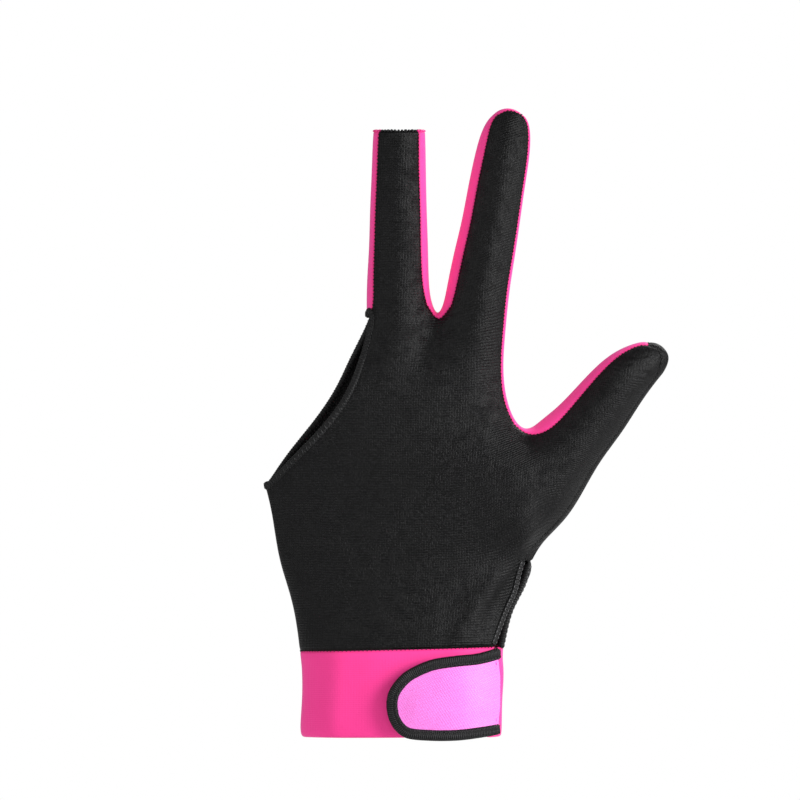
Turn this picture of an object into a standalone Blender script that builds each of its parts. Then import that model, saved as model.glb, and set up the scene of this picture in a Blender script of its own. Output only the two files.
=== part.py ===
"""Three-finger billiard glove for a left hand, held up in the form that it has when worn.

Metres, +Z towards the fingertips, the back of the hand facing -Y and the thumb at +X. The origin is the
middle of the wrist opening. One smooth skin is laid out from the section tables below, and each panel is
a wall cut from it, so that neighbours meet along their seams.
"""

import math

import bpy
import numpy as np

# Overall sizes.
GLOVE_HEIGHT = 0.196
GLOVE_WIDTH = 0.125
GLOVE_DEPTH = 0.031

# Fabric, seams and edges.
FABRIC_WALL = 0.0012
CUFF_WALL = 0.0020
SEAM_GAP = 0.0003
EDGE_GAP = 0.0005
HEM_WIDTH = 0.0021
HEM_LIFT = 0.0004
SLIT_BINDING_WIDTH = 0.0022
SLIT_BINDING_LIFT = 0.0005
SLIT_BINDING_TRIM = 0.0012

# Strap.
STRAP_WALL = 0.0016
STRAP_CLEARANCE = 0.0019
STRAP_SEWN_CLEARANCE = 0.0009
STRAP_RISE = 0.012
BINDING_WIDTH = 0.0036
BINDING_LIFT = 0.0005
HOOK_PATCH_WALL = 0.0010
HOOK_PATCH_WIDTH = 0.018
HOOK_PATCH_HEIGHT = 0.012
HOOK_PATCH_CLEARANCE = 0.0004

# Shape of the sections.
HAND_SQUARENESS = 2.5
FINGER_BASE_DEPTH = 0.0092
WEB_DEPTH = 0.0042
PALM_OPENING_SHIFT = 0.0030
SLIT_TURN_SHARE = 0.985
SKIN_LEVELS = 1

# Widths are shares of GLOVE_WIDTH, heights shares of GLOVE_HEIGHT and depths shares of GLOVE_DEPTH.
# left x, left z, back right x, z, palm right x, z, hand beyond left, beyond back right,
# beyond palm right (shares of the row), half depth of the back, of the palm
PALM_ROWS = (
    (-0.2418, 0.0032, 0.1748, 0.0047, 0.2120, 0.0047, 0.008, 0.155, 0.010, 0.5452, 0.6258),
    (-0.2492, 0.0190, 0.1748, 0.0190, 0.2145, 0.0190, 0.008, 0.158, 0.012, 0.5677, 0.6484),
    (-0.2455, 0.0633, 0.1798, 0.0633, 0.2158, 0.0633, 0.008, 0.149, 0.012, 0.5677, 0.6484),
    (-0.2455, 0.1076, 0.1947, 0.1091, 0.2220, 0.1091, 0.008, 0.118, 0.012, 0.5645, 0.6452),
    (-0.2505, 0.1408, 0.2269, 0.1479, 0.2430, 0.1463, 0.008, 0.042, 0.012, 0.5645, 0.6452),
    (-0.2641, 0.2024, 0.2554, 0.2009, 0.2629, 0.2009, 0.008, 0.019, 0.010, 0.5000, 0.5968),
    (-0.2864, 0.2562, 0.2852, 0.2420, 0.2926, 0.2404, 0.008, 0.018, 0.010, 0.4516, 0.5484),
    (-0.3038, 0.3005, 0.3001, 0.2815, 0.3125, 0.2815, 0.008, 0.025, 0.018, 0.4258, 0.5161),
    (-0.3199, 0.3606, 0.2988, 0.3353, 0.3013, 0.3353, 0.008, 0.280, 0.280, 0.4129, 0.5032),
    (-0.3373, 0.4081, 0.2964, 0.3891, 0.2964, 0.3891, 0.010, 0.360, 0.360, 0.4065, 0.4903),
    (-0.2790, 0.4460, 0.2889, 0.4429, 0.2889, 0.4429, 0.140, 0.220, 0.220, 0.4000, 0.4710),
    (-0.2071, 0.4935, 0.2753, 0.4998, 0.2753, 0.4998, 0.360, 0.012, 0.012, 0.3935, 0.4516),
    (-0.1488, 0.5441, 0.2500, 0.5409, 0.2500, 0.5409, 0.500, 0.012, 0.012, 0.3871, 0.4323),
    (-0.1166, 0.5915, 0.2425, 0.5884, 0.2425, 0.5884, 0.360, 0.012, 0.012, 0.3742, 0.4065),
    (-0.0980, 0.6295, 0.2463, 0.6358, 0.2463, 0.6358, 0.140, 0.012, 0.012, 0.3484, 0.3742),
)
CUFF_CELLS = 4
THUMB_CELLS = 4
THUMB_FIRST_ROW = 7
CORNER_ROW = 9

# The row where the fingers start: x, z, place across its finger (-1 to 1, 0 for the web).
BASE_ROW = (
    (-0.0831, 0.6722, -0.840),
    (-0.0384, 0.6817, -0.300),
    (0.0112, 0.6864, 0.320),
    (0.0583, 0.6896, 0.870),
    (0.0868, 0.6659, 0.000),
    (0.1178, 0.6880, -0.720),
    (0.1600, 0.6848, -0.280),
    (0.2096, 0.6833, 0.320),
    (0.2525, 0.6817, 0.955),
)
MIDDLE_FIRST, MIDDLE_LAST, WEB_COLUMN, INDEX_FIRST, INDEX_LAST = 0, 3, 4, 5, 8

# z, outline left x, back panel left x, back panel right x, outline right x, half depth, middle's depth
MIDDLE_ROWS = (
    (0.7212, -0.0905, -0.0756, 0.0484, 0.0632, 0.2806, 0.0000),
    (0.7782, -0.0856, -0.0732, 0.0434, 0.0608, 0.2677, 0.0065),
    (0.8351, -0.0831, -0.0707, 0.0422, 0.0575, 0.2581, 0.0161),
    (0.8920, -0.0794, -0.0670, 0.0392, 0.0558, 0.2484, 0.0290),
    (0.9363, -0.0769, -0.0645, 0.0384, 0.0546, 0.2419, 0.0419),
    (0.9632, -0.0744, -0.0620, 0.0384, 0.0533, 0.2387, 0.0516),
)
INDEX_ROWS = (
    (0.7212, 0.1091, 0.1314, 0.2599, 0.2646, 0.2806, 0.0000),
    (0.7687, 0.1245, 0.1476, 0.2721, 0.2760, 0.2710, 0.0065),
    (0.8193, 0.1433, 0.1657, 0.2854, 0.2874, 0.2613, 0.0161),
    (0.8699, 0.1587, 0.1805, 0.2981, 0.2988, 0.2516, 0.0290),
    (0.9173, 0.1741, 0.1959, 0.3093, 0.3100, 0.2355, 0.0452),
    (0.9537, 0.1892, 0.2083, 0.3127, 0.3137, 0.2097, 0.0581),
    (0.9774, 0.2066, 0.2182, 0.3063, 0.3075, 0.1677, 0.0645),
)

# back panel's end x, z, outline x, z, half depth
INDEX_TIP = (
    (0.2306, 0.9877, 0.2232, 0.9901, 0.0903),
    (0.2455, 0.9933, 0.2418, 0.9974, 0.0935),
    (0.2676, 0.9960, 0.2691, 0.9982, 0.0935),
    (0.2924, 0.9892, 0.2944, 0.9901, 0.0903),
)
THUMB_TIP = (
    (0.6076, 0.6240, 0.6076, 0.6298, 0.0968),
    (0.6262, 0.6200, 0.6324, 0.6266, 0.1032),
    (0.6386, 0.6113, 0.6530, 0.6145, 0.1032),
    (0.6398, 0.5994, 0.6579, 0.5994, 0.1032),
    (0.6349, 0.5852, 0.6473, 0.5828, 0.0968),
)

# outline upper x, z, back panel upper x, z, back panel outer x, z, outline outer x, z, half depth, middle's depth
THUMB_ROWS = (
    (0.3137, 0.4935, 0.3162, 0.4840, 0.3422, 0.3187, 0.3484, 0.3147, 0.3935, 0.0581),
    (0.3410, 0.5061, 0.3584, 0.4911, 0.3894, 0.3511, 0.3980, 0.3476, 0.3677, 0.0774),
    (0.3782, 0.5251, 0.3993, 0.5148, 0.4315, 0.3907, 0.4414, 0.3883, 0.3419, 0.0968),
    (0.4204, 0.5520, 0.4427, 0.5472, 0.4786, 0.4397, 0.4873, 0.4389, 0.3161, 0.1161),
    (0.4774, 0.5899, 0.4948, 0.5852, 0.5344, 0.4887, 0.5419, 0.4871, 0.2968, 0.1355),
    (0.5320, 0.6160, 0.5419, 0.6113, 0.5828, 0.5362, 0.5902, 0.5346, 0.2645, 0.1516),
    (0.5816, 0.6282, 0.5865, 0.6247, 0.6225, 0.5710, 0.6299, 0.5694, 0.2000, 0.1613),
)

# outline of the web between the fingers: x, z
WEB_RIM = (
    (-0.0918, 0.6674),
    (0.0719, 0.6880),
    (0.0848, 0.6769),
    (0.0980, 0.6896),
    (0.2572, 0.6817),
)

# Folds pressed into the skin: which face of the hand, half width, height, then x, z along the fold.
FOLDS = (
    ("back", 0.0839, 0.0258, ((0.2964, 0.2894), (0.2368, 0.2610), (0.1897, 0.2246), (0.1500, 0.1803), (0.1302, 0.1503))),
    ("back", 0.0677, -0.0242, ((0.2914, 0.2705), (0.2492, 0.2372), (0.2170, 0.1993), (0.2046, 0.1613))),
    ("back", 0.0484, 0.0145, ((0.2914, 0.2467), (0.2616, 0.2119), (0.2368, 0.1708))),
    ("back", 0.0484, 0.0129, ((0.2195, 0.2657), (0.2790, 0.3037), (0.3410, 0.3416), (0.3881, 0.3717))),
    ("back", 0.0387, -0.0113, ((0.2071, 0.2815), (0.2666, 0.3179), (0.3286, 0.3543))),
    ("back", 0.0452, 0.0097, ((0.1996, 0.2973), (0.2517, 0.3306), (0.3088, 0.3622))),
    ("palm", 0.1452, -0.0323, ((0.2468, 0.4397), (0.1798, 0.3796), (0.1451, 0.3005), (0.1451, 0.2088))),
    ("palm", 0.0839, -0.0177, ((-0.2021, 0.1550), (-0.0583, 0.1645), (0.0905, 0.1645), (0.1947, 0.1582))),
    ("palm", 0.0774, -0.0145, ((-0.1327, 0.5726), (-0.0087, 0.5567), (0.1153, 0.5726), (0.2096, 0.5979))),
)

# x, z of the top edge, z of the bottom edge
STRAP_ROWS = (
    (0.2356, 0.1463, 0.0095),
    (0.1848, 0.1384, 0.0047),
    (0.1302, 0.1352, 0.0013),
    (0.0657, 0.1286, 0.0013),
    (0.0087, 0.1123, 0.0052),
    (-0.0211, 0.0949, 0.0182),
    (-0.0372, 0.0783, 0.0364),
    (-0.0427, 0.0633, 0.0538),
)
HOOK_PATCH_PLACE = (0.1029, 0.0617)


def place(x, z):
    return np.array([x * GLOVE_WIDTH, 0.0, z * GLOVE_HEIGHT])


def depth_at(across, squareness):
    """Half depth of a section of width 2 and half depth 1."""
    return max(1.0 - min(abs(across), 1.0) ** squareness, 0.0) ** (1.0 / squareness)


def smooth(t):
    t = min(max(t, 0.0), 1.0)
    return t * t * (3.0 - 2.0 * t)


class Cage:
    """Named points, and four-sided faces that each belong to one piece."""

    def __init__(self):
        self.index = {}
        self.points = []
        self.faces = []
        self.owners = []

    def point(self, key, position):
        self.index[key] = len(self.points)
        self.points.append(position)

    def face(self, owner, keys):
        self.faces.append([self.index[key] for key in keys])
        self.owners.append(owner)

    def grid(self, owner, layer, key_of, across, along):
        """Faces of one block, turned so that the back faces -Y and the palm +Y."""
        for i in range(across):
            for j in range(along):
                owned_by = owner(j) if callable(owner) else owner
                corners = [key_of(i, j), key_of(i + 1, j), key_of(i + 1, j + 1), key_of(i, j + 1)]
                if layer == "palm":
                    corners.reverse()
                self.face(owned_by, [(layer, *corner) for corner in corners])

    def strip(self, owner, walk):
        """Side strip from the back to the palm along a walk that goes round the outline anticlockwise."""
        for a, b in zip(walk[:-1], walk[1:]):
            self.face(owner, [("back", *a), ("rim", *a), ("rim", *b), ("back", *b)])
            self.face(owner, [("rim", *a), ("palm", *a), ("palm", *b), ("rim", *b)])


# The palm panel turns round the thumb's outer edge and tip.
PIECE_OF = {"thumb_turn": "palm_panel"}

TOP = len(PALM_ROWS)
COLUMNS = len(BASE_ROW) - 1


def middle_key(i, j):
    return ("hand", MIDDLE_FIRST + i, TOP) if j == 0 else ("middle", i, j)


def index_key(i, j):
    return ("hand", INDEX_FIRST + i, TOP) if j == 0 else ("index", i, j)


def thumb_key(i, j):
    """Column 0 is the thumb's upper edge, and the last column is its outer edge."""
    return ("hand", COLUMNS, THUMB_FIRST_ROW + THUMB_CELLS - i) if j == 0 else ("thumb", i, j)


def add_hand(cage):
    base = [place(x, z) for x, z, _ in BASE_ROW]
    span = base[-1][0] - base[0][0]
    base_share = [(p[0] - base[0][0]) / span for p in base]
    base_depth = []
    for column, (_, _, across) in enumerate(BASE_ROW):
        depth = FINGER_BASE_DEPTH * depth_at(across, 2.0)
        base_depth.append(WEB_DEPTH if column == WEB_COLUMN else depth)
    for row, sizes in enumerate(PALM_ROWS):
        left_x, left_z, back_x, back_z, palm_x, palm_z, over_left, over_back, over_palm, back, palm = sizes
        towards_fingers = smooth((row - CUFF_CELLS) / (TOP - CUFF_CELLS))
        finger_depth = max(0.0, 1.0 - (TOP - row) / 3.2) ** 1.5
        sides = (
            ("back", -1.0, place(back_x, back_z), over_back, back * GLOVE_DEPTH),
            ("palm", 1.0, place(palm_x, palm_z), over_palm, palm * GLOVE_DEPTH),
        )
        for layer, side, right, over_right, half_depth in sides:
            left = place(left_x, left_z)
            if layer == "palm" and row > CORNER_ROW:
                turn = math.pi * (row - CORNER_ROW) / (TOP - CORNER_ROW)
                left = left + np.array([-1.0, 0.0, 0.6]) * PALM_OPENING_SHIFT * math.sin(turn)
            wraps = layer == "palm" and row <= THUMB_FIRST_ROW
            turn_share = 1.0 if row < CUFF_CELLS else SLIT_TURN_SHARE
            if wraps:
                edge, right, over_right = right, place(back_x, back_z) + (place(back_x, back_z) - left) * over_back, 0.0
            for column in range(COLUMNS + 1):
                even = column * (turn_share / (COLUMNS - 1) if wraps else 1.0 / COLUMNS)
                share = even + (base_share[column] - even) * towards_fingers * (not wraps)
                position = left + (right - left) * share
                across = 2.0 * (over_left + share) / (1.0 + over_left + over_right) - 1.0
                depth = half_depth * depth_at(across, HAND_SQUARENESS)
                depth += (base_depth[column] - depth) * finger_depth
                position[1] = side * depth
                if wraps and column == COLUMNS:
                    across = 1.0 - 2.0 * (right[0] - edge[0]) / (right[0] - left[0])
                    position = edge - np.array([0.0, back * GLOVE_DEPTH * depth_at(across, HAND_SQUARENESS), 0.0])
                cage.point((layer, "hand", column, row), position)
        left, right = place(left_x, left_z), place(palm_x, palm_z)
        cage.point(("rim", "hand", 0, row), left - (right - left) * over_left)
        rim = right + (right - left) * over_palm
        if row == THUMB_FIRST_ROW:
            ends = [cage.points[cage.index[(layer, "hand", COLUMNS, row)]] for layer in ("back", "palm")]
            rim = (ends[0] + ends[1]) / 2.0 + (rim - ends[0]) * np.array([0.4, 0.0, 0.4])
        cage.point(("rim", "hand", COLUMNS, row), rim)
    for column, position in enumerate(base):
        for layer, side in (("back", -1.0), ("palm", 1.0)):
            cage.point((layer, "hand", column, TOP), position + np.array([0.0, side * base_depth[column], 0.0]))
    for column, (x, z) in zip((MIDDLE_FIRST, MIDDLE_LAST, WEB_COLUMN, INDEX_FIRST, INDEX_LAST), WEB_RIM):
        cage.point(("rim", "hand", column, TOP), place(x, z))
    for layer in ("back", "palm"):
        owner = layer + "_panel"
        cage.grid(lambda row: "cuff" if row < CUFF_CELLS else owner, layer, lambda i, j: ("hand", i, j), COLUMNS, TOP)


def add_section(cage, key_of, count, j, left_rim, left, right, right_rim, half_depth, middle):
    """One section of a finger: count points on the back and on the palm, and its two outline points."""
    width = np.linalg.norm(right_rim - left_rim)
    along = (right_rim - left_rim) / width
    for i in range(count):
        position = left + (right - left) * i / (count - 1)
        across = 2.0 * np.dot(position - left_rim, along) / width - 1.0
        depth = half_depth * depth_at(across, 2.1)
        for layer, side in (("back", -1.0), ("palm", 1.0)):
            cage.point((layer, *key_of(i, j)), position + np.array([0.0, middle + side * depth, 0.0]))
    for i, rim in ((0, left_rim), (count - 1, right_rim)):
        cage.point(("rim", *key_of(i, j)), rim + np.array([0.0, middle, 0.0]))


def add_tip(cage, key_of, j, table, middle):
    """The closed end of a finger, along the edge of its back panel and its outline."""
    for i, (x, z, rim_x, rim_z, half_depth) in enumerate(table):
        for layer, side in (("back", -1.0), ("palm", 1.0)):
            across = np.array([0.0, middle + side * half_depth * GLOVE_DEPTH, 0.0])
            cage.point((layer, *key_of(i, j)), place(x, z) + across)
        cage.point(("rim", *key_of(i, j)), place(rim_x, rim_z) + np.array([0.0, middle, 0.0]))


def add_fingers(cage):
    for key_of, rows, count in ((middle_key, MIDDLE_ROWS, 4), (index_key, INDEX_ROWS, 4)):
        for j, (z, left_rim, left, right, right_rim, half_depth, middle) in enumerate(rows, 1):
            ends = [place(x, z) for x in (left_rim, left, right, right_rim)]
            add_section(cage, key_of, count, j, *ends, half_depth * GLOVE_DEPTH, middle * GLOVE_DEPTH)
    for j, sizes in enumerate(THUMB_ROWS, 1):
        ends = [place(sizes[n], sizes[n + 1]) for n in (0, 2, 4, 6)]
        half_depth, middle = sizes[8:]
        add_section(cage, thumb_key, THUMB_CELLS + 1, j, *ends, half_depth * GLOVE_DEPTH, middle * GLOVE_DEPTH)
    add_tip(cage, index_key, len(INDEX_ROWS) + 1, INDEX_TIP, INDEX_ROWS[-1][-1] * GLOVE_DEPTH)
    add_tip(cage, thumb_key, len(THUMB_ROWS) + 1, THUMB_TIP, THUMB_ROWS[-1][-1] * GLOVE_DEPTH)
    for layer in ("back", "palm"):
        owner = layer + "_panel"
        cage.grid(owner, layer, middle_key, 3, len(MIDDLE_ROWS))
        cage.grid(owner, layer, index_key, 3, len(INDEX_ROWS) + 1)
        cage.grid(owner, layer, thumb_key, THUMB_CELLS, len(THUMB_ROWS) + 1)


def add_sides(cage):
    """The side strips, in order round the outline from the top of the slit."""
    thumb_end = len(THUMB_ROWS) + 1
    index_end = len(INDEX_ROWS) + 1
    middle_end = len(MIDDLE_ROWS)
    outer_thumb = [thumb_key(THUMB_CELLS, j) for j in range(thumb_end + 1)]
    thumb_tip = [thumb_key(i, thumb_end) for i in range(THUMB_CELLS, -1, -1)]
    upper_thumb = [thumb_key(0, j) for j in range(thumb_end, -1, -1)]
    beside_palm = [("hand", COLUMNS, row) for row in range(THUMB_FIRST_ROW + THUMB_CELLS, TOP + 1)]
    index_right = [index_key(3, j) for j in range(index_end + 1)]
    index_tip = [index_key(i, index_end) for i in range(3, -1, -1)]
    index_left = [index_key(0, j) for j in range(index_end, -1, -1)]
    web = [("hand", column, TOP) for column in (INDEX_FIRST, WEB_COLUMN, MIDDLE_LAST)]
    middle_right = [middle_key(3, j) for j in range(middle_end + 1)]
    middle_left = [middle_key(0, j) for j in range(middle_end, -1, -1)]
    beside_cuff = [("hand", 0, row) for row in range(CUFF_CELLS, -1, -1)]
    little_side = [("hand", 0, row) for row in range(CORNER_ROW, CUFF_CELLS - 1, -1)]
    cage.strip("thumb_turn", outer_thumb + thumb_tip[1:])
    cage.strip("fourchette_index_thumb", upper_thumb + beside_palm[1:] + index_right[1:])
    cage.strip("fourchette_middle_index", index_tip + index_left[1:] + web[1:] + middle_right[1:])
    cage.strip("fourchette_outer_middle", middle_left)
    cage.strip("back_panel", little_side)
    cage.strip("cuff", beside_cuff)


def limit_of(points, faces):
    """Where a smooth subdivision of these faces puts each of its points."""
    count = len(points)
    rows = np.zeros((count, count))
    edges = {}
    for face in faces:
        for k in range(4):
            edge = frozenset((face[k], face[(k + 1) % 4]))
            edges[edge] = edges.get(edge, 0) + 1
    rim = {}
    neighbours = {}
    for edge, uses in edges.items():
        a, b = edge
        for one, other in ((a, b), (b, a)):
            neighbours.setdefault(one, []).append(other)
            if uses == 1:
                rim.setdefault(one, []).append(other)
    corners = {}
    for face in faces:
        for k in range(4):
            corners.setdefault(face[k], []).append(face[(k + 2) % 4])
    for n in range(count):
        if n in rim:
            rows[n, n] = 4.0 / 6.0
            for other in rim[n]:
                rows[n, other] += 1.0 / 6.0
            continue
        valence = len(neighbours[n])
        whole = valence * (valence + 5.0)
        rows[n, n] = valence * valence / whole
        for other in neighbours[n]:
            rows[n, other] += 4.0 / whole
        for other in corners[n]:
            rows[n, other] += 1.0 / whole
    return rows


def make_cage():
    cage = Cage()
    add_hand(cage)
    add_fingers(cage)
    add_sides(cage)
    used = sorted({n for face in cage.faces for n in face})
    renumber = {old: new for new, old in enumerate(used)}
    faces = [[renumber[n] for n in face] for face in cage.faces]
    targets = np.array([cage.points[n] for n in used])
    rows = limit_of(targets, faces)
    points = targets.copy()
    for _ in range(6):
        points += 0.8 * (targets - rows @ points)
    return points, faces, cage.owners


def fold_heights(points, normals):
    """How far each fold lifts or sinks these points, fading out at its ends and round the side of the hand."""
    flat = points[:, [0, 2]]
    total = np.zeros(len(points))
    for side, width, height, path in FOLDS:
        path = np.array(path) * (GLOVE_WIDTH, GLOVE_HEIGHT)
        steps = np.linalg.norm(np.diff(path, axis=0), axis=1)
        nearest = np.full(len(points), 1.0)
        along = np.zeros(len(points))
        for n, step in enumerate(steps):
            ahead = (path[n + 1] - path[n]) / step
            t = np.clip((flat - path[n]) @ ahead, 0.0, step)
            distance = np.linalg.norm(flat - path[n] - t[:, None] * ahead, axis=1)
            closer = distance < nearest
            nearest[closer] = distance[closer]
            along[closer] = (steps[:n].sum() + t[closer]) / steps.sum()
        facing = np.clip(normals[:, 1] * (1.0 if side == "palm" else -1.0) * 2.0, 0.0, 1.0)
        fade = np.sin(np.pi * np.clip(along, 0.02, 0.98)) ** 0.6
        total += height * GLOVE_DEPTH * facing * fade * np.exp(-((nearest / (width * GLOVE_DEPTH)) ** 2))
    return total


class Skin:
    """The outer surface of the whole glove, subdivided, with what borders each face."""

    def __init__(self, levels):
        points, faces, owners = make_cage()
        self.names = sorted(set(owners))
        mesh = bpy.data.meshes.new("skin")
        mesh.from_pydata([tuple(p) for p in points], [], faces)
        for polygon, owner in zip(mesh.polygons, owners):
            polygon.material_index = self.names.index(owner)
        for name in self.names:
            mesh.materials.append(None)
        shape = bpy.data.objects.new("skin", mesh)
        bpy.context.scene.collection.objects.link(shape)
        rounding = shape.modifiers.new("rounding", "SUBSURF")
        rounding.levels = rounding.render_levels = levels
        rounding.boundary_smooth = "ALL"
        finished = shape.evaluated_get(bpy.context.evaluated_depsgraph_get()).to_mesh()
        self.points = np.array([tuple(v.co) for v in finished.vertices])
        self.faces = [tuple(p.vertices) for p in finished.polygons]
        self.owners = [self.names[p.material_index] for p in finished.polygons]
        bpy.data.objects.remove(shape)
        self.border = {(face[k], face[(k + 1) % 4]): n for n, face in enumerate(self.faces) for k in range(4)}
        self.measure_normals()
        self.points += self.normals * fold_heights(self.points, self.normals)[:, None]
        self.measure_normals()
        self.find_openings()

    def measure_normals(self):
        corners = self.points[np.array(self.faces)]
        self.face_normals = np.cross(corners[:, 2] - corners[:, 0], corners[:, 3] - corners[:, 1])
        self.normals = np.zeros_like(self.points)
        for k in range(4):
            np.add.at(self.normals, np.array(self.faces)[:, k], self.face_normals)
        self.normals /= np.linalg.norm(self.normals, axis=1)[:, None]
        self.face_normals /= np.linalg.norm(self.face_normals, axis=1)[:, None]

    def find_openings(self):
        """Open edges as loops, each run with the faces on its left."""
        follows = {a: b for (a, b) in self.border if (b, a) not in self.border}
        self.loops = []
        while follows:
            start, after = follows.popitem()
            loop = [start]
            while after != start:
                loop.append(after)
                after = follows.pop(after)
            self.loops.append(loop)
        heights = [self.points[loop][:, 2] for loop in self.loops]
        tip = max(range(len(heights)), key=lambda n: heights[n].min())
        wrist = min(range(len(heights)), key=lambda n: heights[n].min())
        self.open_at = {}
        for n, loop in enumerate(self.loops):
            for a, b in zip(loop, loop[1:] + loop[:1]):
                owner = self.owners[self.border[(a, b)]]
                if n == tip:
                    kind = "tip"
                elif n != wrist:
                    kind = "opening"
                else:
                    kind = "cuff" if owner in ("cuff", "thumb_turn") else "slit"
                self.open_at[(a, b)] = kind
        self.opening_loop = next(loop for n, loop in enumerate(self.loops) if n not in (tip, wrist))
        self.slit_runs = self.runs_of(self.loops[wrist])
        # The palm's binding starts a little below the slit's top.
        palm_run = self.slit_runs["palm_panel"]
        high = 0 if self.points[palm_run[0]][2] > self.points[palm_run[-1]][2] else len(palm_run) - 2
        self.open_at[(palm_run[high], palm_run[high + 1])] = "tip"
        palm_run.pop(0 if high == 0 else -1)

    def runs_of(self, loop):
        """The slit's edge as one run of points per panel."""
        runs = {}
        edges = list(zip(loop, loop[1:] + loop[:1]))
        kinds = [self.owners[self.border[edge]] for edge in edges]
        first = next(n for n in range(len(edges)) if kinds[n] != kinds[n - 1])
        for n in range(len(edges)):
            edge, kind = edges[(first + n) % len(edges)], kinds[(first + n) % len(edges)]
            if kind not in ("cuff", "thumb_turn"):
                runs.setdefault(kind, [edge[0]]).append(edge[1])
        return runs

    def inward(self, edge):
        n = self.border[edge]
        across = np.cross(self.face_normals[n], self.points[edge[1]] - self.points[edge[0]])
        return across / np.linalg.norm(across)


def corner_offset(first, second, first_size, second_size):
    """The move that brings a corner in from both of its edges."""
    shared = float(np.dot(first, second))
    if shared > 0.9:
        return (first + second) / (1.0 + shared) * max(first_size, second_size)
    shared = max(shared, -0.6)
    a = (first_size - shared * second_size) / (1.0 - shared * shared)
    b = (second_size - shared * first_size) / (1.0 - shared * shared)
    return a * first + b * second


def enclosed(points, faces):
    """Six times the volume that these faces enclose, below zero when they face inwards."""
    points = np.array(points)
    total = 0.0
    for face in faces:
        for b, c in zip(face[1:-1], face[2:]):
            total += float(np.dot(points[face[0]], np.cross(points[b], points[c])))
    return total


def make_object(name, points, faces, material):
    if enclosed(points, faces) < 0.0:
        faces = [tuple(reversed(face)) for face in faces]
    mesh = bpy.data.meshes.new(name)
    mesh.from_pydata([tuple(p) for p in points], [], faces)
    mesh.polygons.foreach_set("use_smooth", [True] * len(faces))
    mesh.materials.append(material)
    made = bpy.data.objects.new(name, mesh)
    bpy.context.scene.collection.objects.link(made)
    return made


def panel(name, skin, wall, material):
    """The wall of one piece of fabric, cut from the skin and kept clear of its neighbours."""
    faces = [face for face, owner in zip(skin.faces, skin.owners) if PIECE_OF.get(owner, owner) == name]
    edges = {(face[k], face[(k + 1) % 4]) for face in faces for k in range(4)}
    rim = [edge for edge in edges if (edge[1], edge[0]) not in edges]
    sizes = {"opening": HEM_WIDTH + EDGE_GAP, "slit": SLIT_BINDING_WIDTH + EDGE_GAP, "tip": 0.0, "cuff": 0.0}
    leaving, arriving = {}, {}
    for edge in rim:
        size = sizes[skin.open_at[edge]] if edge in skin.open_at else SEAM_GAP / 2.0
        leaving[edge[0]] = (skin.inward(edge), size)
        arriving[edge[1]] = (skin.inward(edge), size)
    used = sorted({n for face in faces for n in face})
    number = {old: new for new, old in enumerate(used)}
    outer = []
    for n in used:
        position = skin.points[n]
        if n in leaving:
            (first, first_size), (second, second_size) = arriving[n], leaving[n]
            if abs(first_size - second_size) > SEAM_GAP:
                first_size, second_size = (1.2 * size if size > SEAM_GAP else size for size in (first_size, second_size))
            position = position + corner_offset(first, second, first_size, second_size)
        outer.append(position)
    outer = np.array(outer)
    inner = outer - skin.normals[used] * wall
    count = len(used)
    solid = [tuple(number[n] for n in face) for face in faces]
    solid += [tuple(number[n] + count for n in reversed(face)) for face in faces]
    solid += [(number[b], number[a], number[a] + count, number[b] + count) for a, b in rim]
    return make_object(name, np.vstack([outer, inner]), solid, material)


def edge_band(name, points, inwards, normals, width, lift, wall, closed, material):
    """A bound edge: a flat roll along a run of points, a little proud of the fabric on both of its faces."""
    points, inwards, normals = (np.array(values) for values in (points, inwards, normals))
    section = (
        (0.0, 0.25 * lift), (0.28 * width, lift), (0.72 * width, lift), (width, 0.25 * lift),
        (width, -wall - 0.25 * lift), (0.5 * width, -wall - lift), (0.0, -wall - 0.25 * lift),
    )
    rings = [points + inwards * across + normals * height for across, height in section]
    count, around = len(points), len(section)
    vertices = np.stack(rings, axis=1).reshape(-1, 3)
    faces = []
    for n in range(count if closed else count - 1):
        after = (n + 1) % count
        for k in range(around):
            m = (k + 1) % around
            faces.append((n * around + k, n * around + m, after * around + m, after * around + k))
    if not closed:
        faces.append(tuple(range(around - 1, -1, -1)))
        faces.append(tuple(range((count - 1) * around, count * around)))
    return make_object(name, vertices, faces, material)


def skin_band(name, skin, run, closed, width, lift, material):
    """Binds part of the skin's open edge."""
    edges = list(zip(run, run[1:] + run[:1])) if closed else list(zip(run[:-1], run[1:]))
    points, inwards, normals = [], [], []
    for n, vertex in enumerate(run):
        before = skin.inward(edges[n - 1]) if closed or n > 0 else skin.inward(edges[0])
        after = skin.inward(edges[n]) if closed or n < len(edges) else skin.inward(edges[-1])
        inwards.append(corner_offset(before, after, 1.0, 1.0))
        points.append(skin.points[vertex])
        normals.append(skin.normals[vertex])
    if not closed:
        for end, near in ((0, 1), (-1, -2)):
            step = points[near] - points[end]
            points[end] = points[end] + step / np.linalg.norm(step) * SLIT_BINDING_TRIM
    return edge_band(name, points, inwards, normals, width, lift, FABRIC_WALL, closed, material)


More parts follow.
